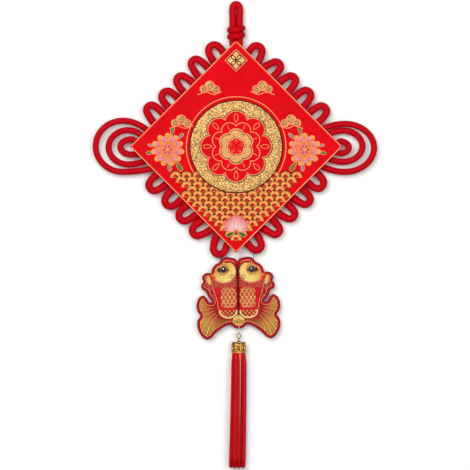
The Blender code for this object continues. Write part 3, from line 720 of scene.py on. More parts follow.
def place_up(across, up, depth):
    return (across, depth, up - CENTRE_DROP)


def falling_slant(fall):
    return -FALLING_SLANT * (BOARD_HALF - fall) / BOARD_SIDE


def strand_offset(index):
    return (-0.5 if index % 2 == 0 else 0.5) * STRAND_STEP


def pair_middle(pair):
    return (pair - (PAIRS - 1) / 2) * PAIR_STEP


def strand_run(kind, index):
    """One strand through the lattice, its points as (x, y, z, radius), and where it comes out."""
    pair = index // 2
    offset = strand_offset(index)
    falling = kind == "falling"
    change = (FALLING_CHANGES if falling else RISING_CHANGES).get(pair)
    middle = pair_middle(pair)
    points = []

    def put(along, aside, depth):
        if falling:
            spot = place(-(middle + aside) + falling_slant(along), along, depth)
        else:
            spot = place(-along, middle + aside + RISING_SHIFT, depth)
        points.append((*spot, LATTICE_R))

    def crossing(number):
        if falling:
            return pair_middle(number) + RISING_SHIFT
        return pair_middle(number) - falling_slant(middle + RISING_SHIFT)

    for number in range(PAIRS):
        in_front = ((pair + number) % 2 == 0) == falling
        depth = -LAYER if in_front else LAYER
        centre = crossing(number)
        put(centre - FLAT_HALF, offset, depth)
        at_corner = number == PAIRS - 1 and index == 2 * PAIRS - 1
        put(centre if at_corner else centre + FLAT_HALF, offset, depth)
        if change == number:
            halfway = (crossing(number + 1) + centre) / 2
            slip = offset * math.cos(math.pi / 4)
            part_way = depth * (1 - 2 * math.sin(math.pi / 4))
            if offset < 0:
                depths = (part_way, -depth, -depth)
            else:
                depths = (depth, depth, -part_way)
            put(halfway - CHANGE_STEP, slip, depths[0])
            put(halfway, 0.0, depths[1])
            put(halfway + CHANGE_STEP, -slip, depths[2])
            offset = -offset
    leaves_at = index if change is None else index + (1 if index % 2 == 0 else -1)
    return points, leaves_at


def edge_point(edge, along, outward, depth):
    """A place measured along an edge from its upper end, and outward from it."""
    if edge == "upper_left":
        return place(BOARD_HALF - along, -BOARD_HALF - outward, depth)
    if edge == "upper_right":
        return place(BOARD_HALF + outward, along - BOARD_HALF, depth)
    if edge == "lower_left":
        return place(-BOARD_HALF - outward, along - BOARD_HALF, depth)
    return place(BOARD_HALF - along, BOARD_HALF + outward, depth)


def leg_along(edge, index):
    """How far along its edge a strand comes out."""
    down = pair_middle(index // 2) + strand_offset(index) + BOARD_HALF
    if edge == "upper_left":
        return down + FALLING_SLANT
    if edge == "lower_right":
        return down
    return down + RISING_SHIFT


def end_layer(kind, index, upper):
    """How deep a strand lies where it leaves the lattice."""
    number = 0 if upper else PAIRS - 1
    in_front = ((index // 2 + number) % 2 == 0) == (kind == "falling")
    return -LAYER if in_front else LAYER


def loop_route(edge, index, lean, reach, half_width):
    kind = "falling" if edge in ("upper_left", "lower_right") else "rising"
    upper = edge.startswith("upper")
    first = leg_along(edge, index)
    second = leg_along(edge, index + 1)
    axis = Vector((lean, reach)).normalized()
    side = Vector((-axis.y, axis.x))
    head = min(half_width * 1.05, reach * 0.55)
    centre = Vector(((first + second) / 2 + lean, reach)) - axis * head
    first_depth = end_layer(kind, index, upper) / 2
    last_depth = end_layer(kind, index + 1, upper) / 2
    points = [(*edge_point(edge, first + LEG_PINCH, 0.0, first_depth), LOOP_R)]
    for step in range(HEAD_STEPS + 1):
        turn = math.pi * step / HEAD_STEPS
        spot = centre + side * half_width * math.cos(turn) + axis * head * math.sin(turn)
        points.append((*edge_point(edge, spot.x, spot.y, 0.0), LOOP_R))
    points.append((*edge_point(edge, second - LEG_PINCH, 0.0, last_depth), LOOP_R))
    return points


def shoulder(edge_spot, head_spot):
    """Points on the curve that levels out from the board's edge to an ear's head."""
    start = Vector(edge_spot)
    end = Vector(head_spot)
    bend = Vector(((start.x + end.x) / 2, end.y, end.z))
    count = int((end - start).length / SHOULDER_STEP)
    shares = [(n + 1) / (count + 1) for n in range(count)]
    return [(*(start * (1 - t) ** 2 + bend * 2 * t * (1 - t) + end * t ** 2), CORD_R) for t in shares]


def ear_route(side, rank, centre_x, centre_z, half_width, half_height, upper, lower, steps):
    left = side == "left"
    upper_edge = "upper_left" if left else "upper_right"
    lower_edge = "lower_left" if left else "lower_right"
    upper_kind = "falling" if left else "rising"
    lower_kind = "rising" if left else "falling"
    first_depth = end_layer(upper_kind, 2 * PAIRS - 3 + rank, True) / 2
    last_depth = end_layer(lower_kind, 2 - rank, False) / 2
    start = edge_point(upper_edge, BOARD_SIDE - upper, 0.0, first_depth)
    end = edge_point(lower_edge, lower, 0.0, last_depth)
    outward = -1 if left else 1
    head = []
    for step in range(steps + 1):
        turn = math.pi * step / steps
        across = centre_x + outward * half_width * math.sin(turn)
        head.append((*place_up(across, centre_z + half_height * math.cos(turn), 0.0), CORD_R))
    points = [(*start, CORD_R)] + shoulder(start, head[0][:3]) + head
    return points + shoulder(end, head[-1][:3])[::-1] + [(*end, CORD_R)]


def hanger_route():
    head_up = CENTRE_DROP + CORD_R - HANGER_SPREAD
    root_up = HANGER_FOOT - HANGER_ROOT
    levels = [HANGER_FOOT + HANGER_STEP * n for n in range(4)]
    points = [(*place_up(-HANGER_SPREAD, root_up, -0.7 * LAYER), HANGER_ROOT_R)]
    points += [(*place_up(-HANGER_SPREAD, up, 0.0), HANGER_R) for up in levels]
    for step in range(HANGER_HEAD_STEPS + 1):
        turn = math.pi * (1 - step / HANGER_HEAD_STEPS)
        up = head_up + HANGER_SPREAD * math.sin(turn)
        points.append((*place_up(HANGER_SPREAD * math.cos(turn), up, 0.0), HANGER_R))
    points += [(*place_up(HANGER_SPREAD, up, 0.0), HANGER_R) for up in reversed(levels)]
    return points + [(*place_up(HANGER_SPREAD, root_up, 0.7 * LAYER), HANGER_ROOT_R)]


def corner_route():
    corner = pair_middle(PAIRS - 1) + STRAND_STEP / 2 + CORNER_REACH
    return [(*place(-corner, corner + RISING_SHIFT, 0.0), LATTICE_R)]


def scaled(row, count):
    return [value * MM if n < count else value for n, value in enumerate(row)]


def all_links():
    links = []
    for edge, rows in LOOPS.items():
        kind = "falling" if edge in ("upper_left", "lower_right") else "rising"
        level = "upper" if edge.startswith("upper") else "lower"
        for number, row in enumerate(rows):
            index = FIRST_LOOP_STRAND[edge] + 2 * number
            route = loop_route(edge, index, *scaled(row, 3))
            links.append(((kind, index, level), (kind, index + 1, level), route))
    for side, rows in EARS.items():
        upper_kind = "falling" if side == "left" else "rising"
        lower_kind = "rising" if side == "left" else "falling"
        for rank, row in enumerate(rows):
            first = (upper_kind, 2 * PAIRS - 3 + rank, "upper")
            second = (lower_kind, 2 - rank, "lower")
            links.append((first, second, ear_route(side, rank, *scaled(row, 6))))
    last = 2 * PAIRS - 1
    links.append((("falling", last, "lower"), ("rising", last, "lower"), corner_route()))
    links.append((("falling", 0, "upper"), ("rising", 0, "upper"), hanger_route()))
    return links


def cord_route():
    """The whole cord, followed from strand to loop to strand until it closes on itself."""
    ends = {}
    for first, second, route in all_links():
        ends[first] = (second, route)
        ends[second] = (first, route[::-1])
    runs = {}
    for kind in ("falling", "rising"):
        for index in range(2 * PAIRS):
            points, leaves_at = strand_run(kind, index)
            runs[(kind, index, "upper")] = ((kind, leaves_at, "lower"), points)
            runs[(kind, leaves_at, "lower")] = ((kind, index, "upper"), points[::-1])
    start = ("falling", 0, "upper")
    here = start
    route = []
    while True:
        here, points = runs[here]
        route += points
        here, points = ends[here]
        route += points
        if here == start:
            return route


def build_cord():
    cord = Pieces()
    line = evenly(smooth_line(cord_route(), 6, True), CORD_RING_STEP, True)
    tube(cord, line[:, :3], line[:, 3], CORD_SIDES, True)
    for up in WRAP_HEIGHTS:
        turn = []
        for step in range(WRAP_STEPS):
            angle = 2 * math.pi * step / WRAP_STEPS
            across = WRAP_WIDE * math.cos(angle)
            rise = WRAP_TILT * across + WRAP_SLIP * math.sin(angle)
            turn.append(place_up(across, up + rise, WRAP_DEEP * math.sin(angle)))
        tube(cord, turn, WRAP_R, 20, True)
    cord.build("knot_satin_cord", SATIN, "satin_cord", ["knot_cord"])


# The board's face, in mm but for depths

DISC_R = 62.0
DISC_BACK_Y = BOARD_FRONT_Y - GAP
DISC_THICK = 1.2
BLOSSOM_BACK_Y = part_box("blossom")[1].y
BLOSSOM_R = 47.0
BLOSSOM_THICK = 1.8
CENTRE_BACK_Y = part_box("blossom_heart")[1].y
CENTRE_R = 24.0
CENTRE_THICK = 1.4
BUTTON_R = 11.5
PETALS = 8
PETAL_NOTCH = 0.2
INNER_PETAL_R = 33.5
INLAY_AT = 32.0
LINE_WIDE = 1.3
FINE_LINE = 0.9


def build_board():
    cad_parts["face_board"].data.materials.clear()
    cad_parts["face_board"].data.materials.append(VELVET)
    edging = Pieces()
    edge = diamond(MIDDLE, BOARD_CORNER / MM - math.sqrt(2), (0.012, 0.25, 0.5, 0.75, 0.988))
    board_line(edging, edge, BOARD_FRONT_Y - 0.1 * MM, 1.5)
    edging.build("board_edge_line", FOIL, "gold_cloth")


def build_disc():
    disc = Pieces()
    pad(disc, circle(MIDDLE, DISC_R, 144), DISC_BACK_Y, DISC_THICK, 3.0, 0.0, 0.6)
    disc.build("gold_disc", DISC_GOLD, "gold_cloth", ["medallion"])
    lines = Pieces()
    top = DISC_BACK_Y - DISC_THICK * MM
    board_line(lines, circle(MIDDLE, DISC_R + 4.2, 144), BOARD_FRONT_Y, LINE_WIDE)
    lines.build("disc_outer_line", FOIL, "gold_cloth")
    brown = Pieces()
    board_line(brown, circle(MIDDLE, DISC_R - 0.6, 144), top + 0.1 * MM, 1.4)
    board_line(brown, flower(BLOSSOM_R + 1.3, PETALS, PETAL_NOTCH, 0.0, 192), top, FINE_LINE)
    brown.build("disc_brown_line", BROWN_LINE, "board_velvet")


def blossom_height(flat):
    """Each petal swells a little between the creases that part it from its neighbours."""
    angle = np.arctan2(flat[:, 0], flat[:, 1])
    reach = np.hypot(flat[:, 0], flat[:, 1])
    crease = np.abs(np.cos(PETALS * angle / 2))
    return 0.5 * (crease ** 0.7 - 0.6) * np.clip((reach - CENTRE_R) / 8, 0, 1)


def build_blossom():
    top = BLOSSOM_BACK_Y - BLOSSOM_THICK * MM
    half = math.pi / PETALS
    petals = Pieces()
    outer = flower(BLOSSOM_R, PETALS, PETAL_NOTCH, 0.0, 192)
    pad(petals, outer, BLOSSOM_BACK_Y, BLOSSOM_THICK, 1.5, 0.2, 1.0, height=blossom_height)
    pad(petals, flower(INNER_PETAL_R, PETALS, 0.22, half, 160), top, 0.9, 1.6, 0.2, 0.8)
    petals.build("blossom_petals", PETAL_VELVET, "blossom_velvet", ["blossom"])
    lines = Pieces()
    board_line(lines, flower(BLOSSOM_R - 0.4, PETALS, PETAL_NOTCH, 0.0, 240), top + 0.7 * MM, LINE_WIDE)
    board_line(lines, flower(INNER_PETAL_R - 0.3, PETALS, 0.22, half, 200), top - 0.5 * MM, LINE_WIDE)
    inlays = Pieces()
    brown = Pieces()
    for turn in turns(PETALS):
        mark = drop(from_top(MIDDLE, INLAY_AT, turn), 11.5, 6.2, turn)
        pad(inlays, mark, top + 0.2 * MM, 0.5, 1.2, 0.0, 0.5)
        board_line(lines, mark, top - 0.3 * MM, FINE_LINE)
        board_line(brown, drop(from_top(MIDDLE, 0.97 * INLAY_AT, turn), 13.4, 8.4, turn), top - 0.1 * MM, 0.7)
        vein = [from_top(MIDDLE, reach, turn + half) for reach in (24.5, 27.0, 30.0)]
        board_line(lines, vein, top - 1.1 * MM, FINE_LINE, False)
    inlays.build("blossom_inlays", HEART_GOLD, "gold_velvet")
    brown.build("blossom_brown_lines", BROWN_LINE, "board_velvet")
    lines.build("blossom_lines", FOIL, "gold_cloth")


def build_blossom_centre():
    heart = Pieces()
    pad(heart, flower(CENTRE_R, 6, PETAL_NOTCH, 0.0, 144), CENTRE_BACK_Y, CENTRE_THICK, 1.5, 0.3, 0.9)
    heart.build("blossom_centre", HEART_GOLD, "gold_velvet", ["blossom_heart"])
    top = CENTRE_BACK_Y - CENTRE_THICK * MM
    buttons = Pieces()
    pad(buttons, flower(BUTTON_R, 5, 0.18, 0.0, 100), top, 0.9, 1.2, 0.5, 0.8)
    buttons.build("blossom_button", PETAL_VELVET, "blossom_velvet")
    lines = Pieces()
    board_line(lines, flower(CENTRE_R - 0.4, 6, PETAL_NOTCH, 0.0, 160), top + 0.5 * MM, LINE_WIDE)
    board_line(lines, flower(BUTTON_R - 0.3, 5, 0.18, 0.0, 110), top - 0.6 * MM, FINE_LINE)
    for turn in turns(5):
        board_line(lines, drop(from_top(MIDDLE, 2.4, turn), 6.6, 3.6, turn), top - 1.2 * MM, 0.6)
    for turn in turns(12, 0.5):
        tip = from_top(MIDDLE, 16.2, turn)
        board_line(lines, [from_top(MIDDLE, 13.0, turn), tip], top - 0.2 * MM, 0.6, False)
        board_line(lines, circle(tip, 0.7, 10), top - 0.3 * MM, 0.9)
    lines.build("blossom_centre_lines", FOIL, "gold_cloth")
    brown = Pieces()
    board_line(brown, flower(CENTRE_R - 2.3, 6, PETAL_NOTCH, 0.0, 160), top - 0.1 * MM, 0.7)
    board_line(brown, flower(BUTTON_R + 1.4, 5, 0.18, 0.0, 110), top - 0.1 * MM, 0.8)
    brown.build("blossom_centre_brown", BROWN_LINE, "board_velvet")


def diamond(centre, reach, shares=SIXTHS):
    """A square on its corner, with points at the given shares of each side."""
    corners = [(0.0, reach), (-reach, 0.0), (0.0, -reach), (reach, 0.0)]
    return [(centre[0] + across + (to_across - across) * share, centre[1] + up + (to_up - up) * share)
            for (across, up), (to_across, to_up) in zip(corners, corners[1:] + corners[:1])
            for share in shares]


def build_emblem():
    low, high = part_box("emblem")
    middle = (0.0, ((low.z + high.z) / 2 + CENTRE_DROP) / MM)
    reach = (high.z - low.z) / 2 / MM
    top = low.y
    patch = Pieces()
    pad(patch, diamond(middle, reach), high.y, 1.0, 1.2, 0.0, 0.5)
    patch.build("emblem_patch", EMBLEM_GOLD, "gold_cloth", ["emblem"])
    lines = Pieces()
    board_line(lines, diamond(middle, reach - 0.8), top, 1.2)
    board_line(lines, diamond(middle, reach - 3.6), top, 0.7)
    lines.build("emblem_lines", FOIL, "gold_cloth")
    brown = Pieces()
    board_line(brown, diamond(middle, reach - 2.4), top, 1.3)
    for turn in turns(4, 0.5):
        board_line(brown, drop(from_top(middle, 1.0, turn), 7.4, 5.0, turn), top, 1.3)
    board_line(brown, circle(middle, 1.3, 14), top, 1.2)
    brown.build("emblem_brown_lines", BROWN_LINE, "board_velvet")


def gradient(inner, outer, centre, reach):
    """Paint that runs from one colour at the centre to another at reach mm."""
    def paint(flat):
        away = np.hypot(flat[:, 0] - centre[0], flat[:, 1] - centre[1])
        return mixed(inner, outer, np.clip(away / reach, 0, 1))
    return paint


FLOWER_AT = (91.0, -4.0)
LOTUS_AT = (0.0, -112.0)
FLOWER_RINGS = [
    # petals, distance of their bases, length, width, inner and outer colour
    (11, 9.0, 13.0, 8.6, srgb(196, 36, 26), srgb(250, 184, 84)),
    (9, 6.4, 11.5, 8.4, srgb(186, 18, 60), srgb(250, 150, 186)),
    (8, 3.6, 9.8, 7.0, srgb(206, 26, 26), srgb(252, 168, 76)),
    (6, 1.4, 7.0, 5.6, srgb(176, 14, 44), srgb(248, 128, 140)),
]
LEAVES = [
    # turn in degrees from straight up, distance, length, width, colour
    (100, 17.0, 12.0, 6.5, LEAF_GREEN),
    (186, 16.0, 13.0, 6.5, SLATE_BLUE),
    (214, 17.0, 17.0, 8.0, LEAF_GREEN),
    (-14, 17.0, 14.0, 6.5, LEAF_GREEN),
    (-44, 17.0, 13.0, 6.0, SLATE_BLUE),
    (76, 17.0, 10.0, 5.0, SLATE_BLUE),
]


def build_side_flowers():
    bodies = Pieces()
    lines = Pieces()
    back = BOARD_FRONT_Y + 0.1 * MM
    for hand in (-1, 1):
        centre = (hand * FLOWER_AT[0], FLOWER_AT[1])
        for degrees, away, length, width, colour in LEAVES:
            turn = hand * math.radians(degrees)
            base = from_top(centre, away, turn)
            leaf = drop(base, length, width, turn, 28, 2.0)
            pad(bodies, leaf, back, 0.6, 1.4, 0.1, 0.6, gradient(darker(colour, 0.6), colour, base, length))
            board_line(lines, leaf, back - 0.4 * MM, 0.8)
            rib = [from_top(base, share * length, turn) for share in (0.1, 0.5, 0.85)]
            board_line(lines, rib, back - 0.6 * MM, 0.5, False)
        for ring, (count, away, length, width, inner, outer) in enumerate(FLOWER_RINGS):
            level = back - (0.3 + 0.75 * ring) * MM
            for n, turn in enumerate(turns(count, 0.5 * (ring % 2))):
                base = from_top(centre, away, turn)
                petal = drop(base, length, width, turn, 26, 0.5)
                step_back = 0.1 * MM * (n % 2)
                tint = gradient(inner, outer, base, length)
                pad(bodies, petal, level + step_back, 0.6, 1.3, 0.3, 0.6, tint)
                board_line(lines, petal, level - 0.45 * MM + step_back, 0.7)
        heart = gradient(GOLD, ORANGE, centre, 3.4)
        pad(bodies, circle(centre, 3.4, 24), back - 2.4 * MM, 0.8, 1.0, 0.4, 0.7, heart)
        for turn in turns(7):
            board_line(lines, circle(from_top(centre, 2.0, turn), 0.4, 8), back - 3.4 * MM, 0.6)
    bodies.build("side_flowers", PRINT, "board_velvet", painted=True)
    lines.build("side_flower_lines", FOIL, "gold_cloth")


CLOUDS_AT = [(73.0, 33.0), (35.0, 78.0)]
CLOUD_PUFFS = [(-8.0, -2.0, 5.2), (0.0, 2.6, 6.6), (8.2, -1.6, 5.0)]


def build_clouds():
    """Curled clouds in gold between the disc and the upper edges."""
    body = Pieces()
    lines = Pieces()
    brown = Pieces()
    back = BOARD_FRONT_Y + 0.1 * MM
    for hand, (cloud_across, cloud_up) in [(hand, at) for hand in (-1, 1) for at in CLOUDS_AT]:
        centre = (hand * cloud_across, cloud_up)
        for across, up, radius in CLOUD_PUFFS:
            spot = (centre[0] + hand * across, centre[1] + up)
            pad(body, circle(spot, radius, 36), back - 0.05 * MM * radius, 0.7, 1.6, 0.2, 0.7)
            board_line(lines, circle(spot, radius - 0.2, 40), back - (0.55 + 0.05 * radius) * MM, 1.0)
            curl = spiral(spot, radius * 0.72, 1.4, math.pi / 2, hand)
            board_line(brown, curl, back - (0.85 + 0.05 * radius) * MM, 0.8, False)
        trail = [(centre[0] + hand * step, centre[1] - 7.0 + 1.8 * math.sin(step / 3.4))
                 for step in range(-16, 17, 2)]
        board_line(lines, trail, back - 0.3 * MM, 1.3, False)
    body.build("clouds", HEART_GOLD, "gold_cloth")
    lines.build("cloud_lines", FOIL, "gold_cloth")
    brown.build("cloud_curls", BROWN_LINE, "board_velvet")


SCALLOP_R = 8.0
SCALLOP_ACROSS = 14.6
SCALLOP_DOWN = 6.4
WAVE_TOP = -34.0
WAVE_ROWS = 16
SCALLOP_BANDS = [
    # share of the radius, height, inner and outer colour
    (1.0, 0.5, srgb(190, 60, 30), srgb(236, 150, 66)),
    (0.80, 0.8, ORANGE, srgb(246, 196, 96)),
    (0.52, 1.1, srgb(200, 20, 26), srgb(176, 14, 24)),
    (0.28, 1.4, srgb(250, 206, 130), srgb(240, 150, 80)),
]


def is_wave(across, up):
    on_board = abs(across) + abs(up) < BOARD_CORNER / MM - 9.5
    off_disc = math.hypot(across, up) > DISC_R + 1.5
    hand = 1 if across > 0 else -1
    off_flower = math.hypot(across - hand * FLOWER_AT[0], up - FLOWER_AT[1]) > 30.0
    return on_board and off_disc and off_flower and up < -38.0


def build_waves():
    """Rows of scallops over the lower corner, every second row a little higher."""
    bodies = Pieces()
    lines = {1.0: (Pieces(), 1.0), 0.52: (Pieces(), 0.7)}
    for row in range(WAVE_ROWS):
        up = WAVE_TOP - row * SCALLOP_DOWN
        lift = 0.10 * (row % 2)
        for column in range(-9, 10):
            across = (column + 0.5 * (row % 2)) * SCALLOP_ACROSS
            if not is_wave(across, up):
                continue
            for share, thick, inner, outer in SCALLOP_BANDS:
                reach = SCALLOP_R * share
                arc = [(across + reach * math.cos(math.pi * n / 14), up + reach * math.sin(math.pi * n / 14))
                       for n in range(15)]
                foot = [(across - reach * 0.92, up - 0.9 * share), (across + reach * 0.92, up - 0.9 * share)]
                pad(bodies, arc + foot, BOARD_FRONT_Y + 0.1 * MM, thick * 0.6 + lift, 1.8, 0.0, 0.4,
                    gradient(inner, outer, (across, up), reach))
                if share in lines:
                    line, width = lines[share]
                    board_line(line, arc, BOARD_FRONT_Y - (thick * 0.5 + lift) * MM, width, False, 6)
    bodies.build("wave_scallops", PRINT, "board_velvet", painted=True)
    lines[0.52][0].build("wave_lines", FOIL, "gold_cloth")
    lines[1.0][0].build("wave_brown_lines", BROWN_LINE, "board_velvet")


LOTUS_PETALS = [
    # turn in degrees, length, width, level
    (-78, 17.0, 7.5, 0.2), (78, 17.0, 7.5, 0.2),
    (-52, 20.0, 8.5, 0.6), (52, 20.0, 8.5, 0.6),
    (-26, 21.0, 9.5, 1.0), (26, 21.0, 9.5, 1.0),
    (0, 22.0, 10.0, 1.5),
]


def build_lotus():
    petals = Pieces()
    lines = Pieces()
    back = BOARD_FRONT_Y - 0.4 * MM
    for degrees, length, width, level in LOTUS_PETALS:
        turn = math.radians(degrees)
        depth = back - level * MM
        petal = drop(LOTUS_AT, length, width, turn, 32, 1.6)
        pad(petals, petal, depth, 0.7, 1.3, 0.3, 0.7, gradient(WHITE, srgb(226, 62, 110), LOTUS_AT, length))
        board_line(lines, petal, depth - 0.5 * MM, 0.9)
    green = gradient(darker(LEAF_GREEN, 0.6), LEAF_GREEN, LOTUS_AT, 13.0)
    for hand in (-1, 1):
        base = (LOTUS_AT[0] + hand * 1.5, LOTUS_AT[1] - 1.0)
        leaf = drop(base, 13.0, 7.0, hand * math.radians(118), 28, 1.8)
        pad(petals, leaf, back - 0.2 * MM, 0.6, 1.3, 0.2, 0.6, green)
        board_line(lines, leaf, back - 0.6 * MM, 0.8)
    petals.build("lotus", PRINT, "board_velvet", painted=True)
    lines.build("lotus_lines", FOIL, "gold_cloth")


# The pendant

PENDANT_PLACE = Matrix.Translation((PENDANT_X, 0.0, PENDANT_Z)) @ Matrix.Rotation(-PENDANT_TILT, 4, "Y")
COIN_AT = (0.0, -31.4)
COIN_R = 8.6
EYE_AT = (18.8, 37.6)
CURL_AT = (7.6, 28.6)
TAIL_ROOT = (20.0, -12.0)


MIRRORED = [(-across, up) for across, up in PENDANT_OUTLINE[-2:0:-1]]
OUTLINE = smooth_line(np.array(PENDANT_OUTLINE + MIRRORED), 4, True)


def pendant_half(flat, inward):
    """Half the pendant's thickness in mm: a rounded welt, a groove, and the stuffed crown."""
    welt = np.sqrt(1 - (1 - np.clip(inward / 1.4, 0, 1)) ** 2)
    rim = PENDANT_EDGE * (0.45 + 0.75 * welt) - 0.25 * np.exp(-((inward - PENDANT_FLANGE) / 0.7) ** 2)
    into = np.minimum(inward - PENDANT_FLANGE, np.abs(flat[:, 0]) + SEAM_SOFTNESS - PENDANT_FLANGE)
    share = np.clip(into / PENDANT_RISE, 0, 1)
    crown = PENDANT_CROWN * np.sqrt(1 - (1 - share) ** 2)
    angle = np.arctan2(flat[:, 1], flat[:, 0])
    pucker = 0.22 * np.sin(46 * angle) * np.exp(-((inward - PENDANT_FLANGE - 2.2) / 2.0) ** 2)
    return np.maximum(rim + crown + pucker, 0.3)


def to_pendant(flat, depth_mm):
    """Points of the pendant's own plane in mm, with depth, put in place."""
    local = np.column_stack([flat[:, 0], depth_mm, flat[:, 1]]) * MM
    turned = np.array(PENDANT_PLACE.to_3x3())
    return local @ turned.T + np.array(PENDANT_PLACE.translation)


def soft(distance, width=0.5):
    """1 where distance is below 0, 0 where above, with a short ramp."""
    return np.clip(0.5 - distance / width, 0, 1)


def mixed(first, second, share):
    """Colours from the first to the second by each point's share."""
    return np.array(first) * (1 - share[:, None]) + np.array(second) * share[:, None]


def pendant_paint(flat, inward):
    """The printed pair of fish: gold faces, scaled red bodies, curled fins and rayed tails, with a painted
    highlight and painted shade at the mouth.
    """
    side = np.abs(flat[:, 0])
    up = flat[:, 1]
    colour = np.tile(srgb(206, 14, 26), (len(flat), 1))

    def coat(share, tint):
        colour[:] = mixed(colour, tint, share)

    body_edge = 26.5 + 0.30 * np.clip(up + 6, -30, 40) - 0.018 * np.clip(-up - 6, 0, 60) ** 2

    # Tail: gold with red rays out of its root
    root_side, root_up = TAIL_ROOT
    reach = np.hypot(side - root_side, up - root_up)
    angle = np.arctan2(up - root_up, side - root_side)
    rays = 0.5 + 0.5 * np.sin(34 * angle + 0.25 * reach)
    tail = soft(body_edge + 1.2 - side) * soft(up - 4.0)
    fade = np.clip((reach - 15) / 17, 0, 1)
    coat(tail, mixed(srgb(158, 26, 18), srgb(222, 164, 66), fade))
    coat(tail * soft(0.62 - rays, 0.2) * (1 - 0.35 * fade), srgb(160, 14, 16))
    coat(tail * soft(np.abs(rays - 0.34) - 0.12, 0.2) * fade, srgb(104, 62, 14))
    coat(tail * soft(0.93 - rays, 0.1) * fade, srgb(248, 216, 132))

    # Side fin: maroon and pink curls with a gold patch
    fin = soft(body_edge + 0.6 - side) * soft(-5.0 - up) * soft(up - 34.5)
    fin = fin * (1 - tail)
    curls = np.sin(0.95 * side + 2.2 * np.sin(0.42 * up)) * np.sin(0.75 * up + 1.4 * np.sin(0.5 * side))
    coat(fin, srgb(158, 16, 34))
    coat(fin * soft(0.25 - curls, 0.25), srgb(226, 104, 96))
    patch = np.hypot((side - 38.6) / 3.2, (up - 23.5 - 0.6 * (side - 38.6)) / 6.0)
    coat(fin * soft(patch - 0.95, 0.25), GOLD)
    coat(fin * soft(np.abs(patch - 1.05) - 0.10, 0.12), srgb(92, 28, 14))

    # Gill band of fine arcs under the face
    band = soft(side - body_edge) * soft(up - 25.0) * soft(13.5 - up)
    arcs = np.sin(2.3 * (up + 0.10 * (side - 16) ** 2 * 0.3)) * np.sin(1.9 * side)
    coat(band, srgb(160, 16, 22))
    coat(band * soft(0.2 - arcs, 0.3), srgb(228, 112, 92))

    # Body with scales in gold on red
    row_tall, scale_wide = 4.6, 5.6
    row = np.floor((14.0 - up) / row_tall)
    centre_side = (np.round(side / scale_wide - 0.5 * (row % 2)) + 0.5 * (row % 2)) * scale_wide
    from_top = (14.0 - up) - row * row_tall
    scale = np.hypot(side - centre_side, from_top * 0.62)
    torso = soft(((side - 12.6) / 10.4) ** 4 + ((up - 0.2) / 13.2) ** 4 - 1, 0.25)
    coat(torso, srgb(176, 8, 22))
    coat(torso * soft(np.abs(scale - 2.3) - 0.36, 0.3), srgb(250, 200, 120))
    coat(torso * soft(scale - 0.85, 0.4), srgb(240, 140, 60))

    # Curled cloud at the body's foot
    cloud = np.hypot((side - 13.5) / 12.0, (up + 17.5) / 9.5)
    lower = soft(up + 16.5) * soft(-33.0 - up)
    coat(lower * soft(cloud - 0.95, 0.1), srgb(158, 40, 22))
    folds = np.sin(1.15 * side + 0.6) * np.sin(up)
    coat(lower * soft(0.25 - folds, 0.4) * soft(cloud - 0.9, 0.1), srgb(248, 150, 84))
    coat(lower * soft(np.abs(cloud - 0.95) - 0.09, 0.06), CREAM)

    # Face
    face = np.hypot((side - 18.4) / 16.6, (up - 35.0) / 14.8)
    below_mouth = soft(up - 46.8 - 0.02 * (side - 14) ** 2)
    shown = soft(face - 1.0, 0.05) * soft(1.6 - side) * below_mouth
    warm = np.clip(0.5 + 0.03 * (side - 16) + 0.03 * (up - 38), 0, 1)
    coat(shown, mixed(srgb(248, 222, 130), srgb(226, 150, 44), warm))
    coat(soft(np.abs(face - 1.0) - 0.04, 0.05) * soft(1.6 - side) * below_mouth, srgb(96, 24, 14))
    cheek = np.hypot((side - 33.0) / 4.0, (up - 24.0) / 6.0)
    coat(shown * soft(cheek - 0.9, 0.3), srgb(206, 60, 34))

    # Curl by the seam
    curl = np.hypot(side - CURL_AT[0], up - CURL_AT[1])
    turn = np.arctan2(up - CURL_AT[1], side - CURL_AT[0])
    coil = np.abs((curl - 0.42 * (turn + math.pi)) % 2.64 - 1.32)
    coat(soft(curl - 3.9, 0.4) * soft(0.85 - coil, 0.4), srgb(120, 44, 22))

    # Eye: brown ring, gold ring, grey iris, dark pupil and its highlight
    eye = np.hypot(side - EYE_AT[0], up - EYE_AT[1])
    for radius, ring in ((7.4, srgb(112, 34, 14)), (6.7, srgb(238, 172, 84))):
        coat(soft(eye - radius, 0.4), ring)
    almond = np.hypot((side - EYE_AT[0] - 1.2) / 7.6, (up - EYE_AT[1] + 0.6) / 3.4)
    coat(soft(almond - 1.0, 0.15), srgb(84, 22, 10))
    for radius, ring in ((5.0, srgb(66, 16, 12)), (4.3, srgb(120, 110, 122)), (3.5, NEAR_BLACK)):
        coat(soft(eye - radius, 0.4), ring)
    shine = np.hypot(flat[:, 0] - np.sign(flat[:, 0]) * EYE_AT[0] + 0.4, up - EYE_AT[1] - 1.2)
    coat(soft(shine - 0.95, 0.4), WHITE)

    # Mouth: two rolls, with a painted highlight along their ridge, and painted shade in a crease below
    mouth = soft(46.4 + 0.02 * (side - 14) ** 2 - up) * soft(side - 25.0)
    coat(mouth, srgb(190, 14, 26))
    # Painted highlight: a pale pink ridge along the rolls
    coat(mouth * soft(np.abs(up - 50.0 + 0.03 * (side - 13) ** 2) - 0.5, 0.8), srgb(250, 120, 110))
    # Painted shade: a dark band in the crease under the mouth
    crease = soft(np.abs(up - 47.0 - 0.02 * (side - 14) ** 2) - 0.45, 0.5) * soft(side - 24.0)
    coat(crease, srgb(92, 10, 14))

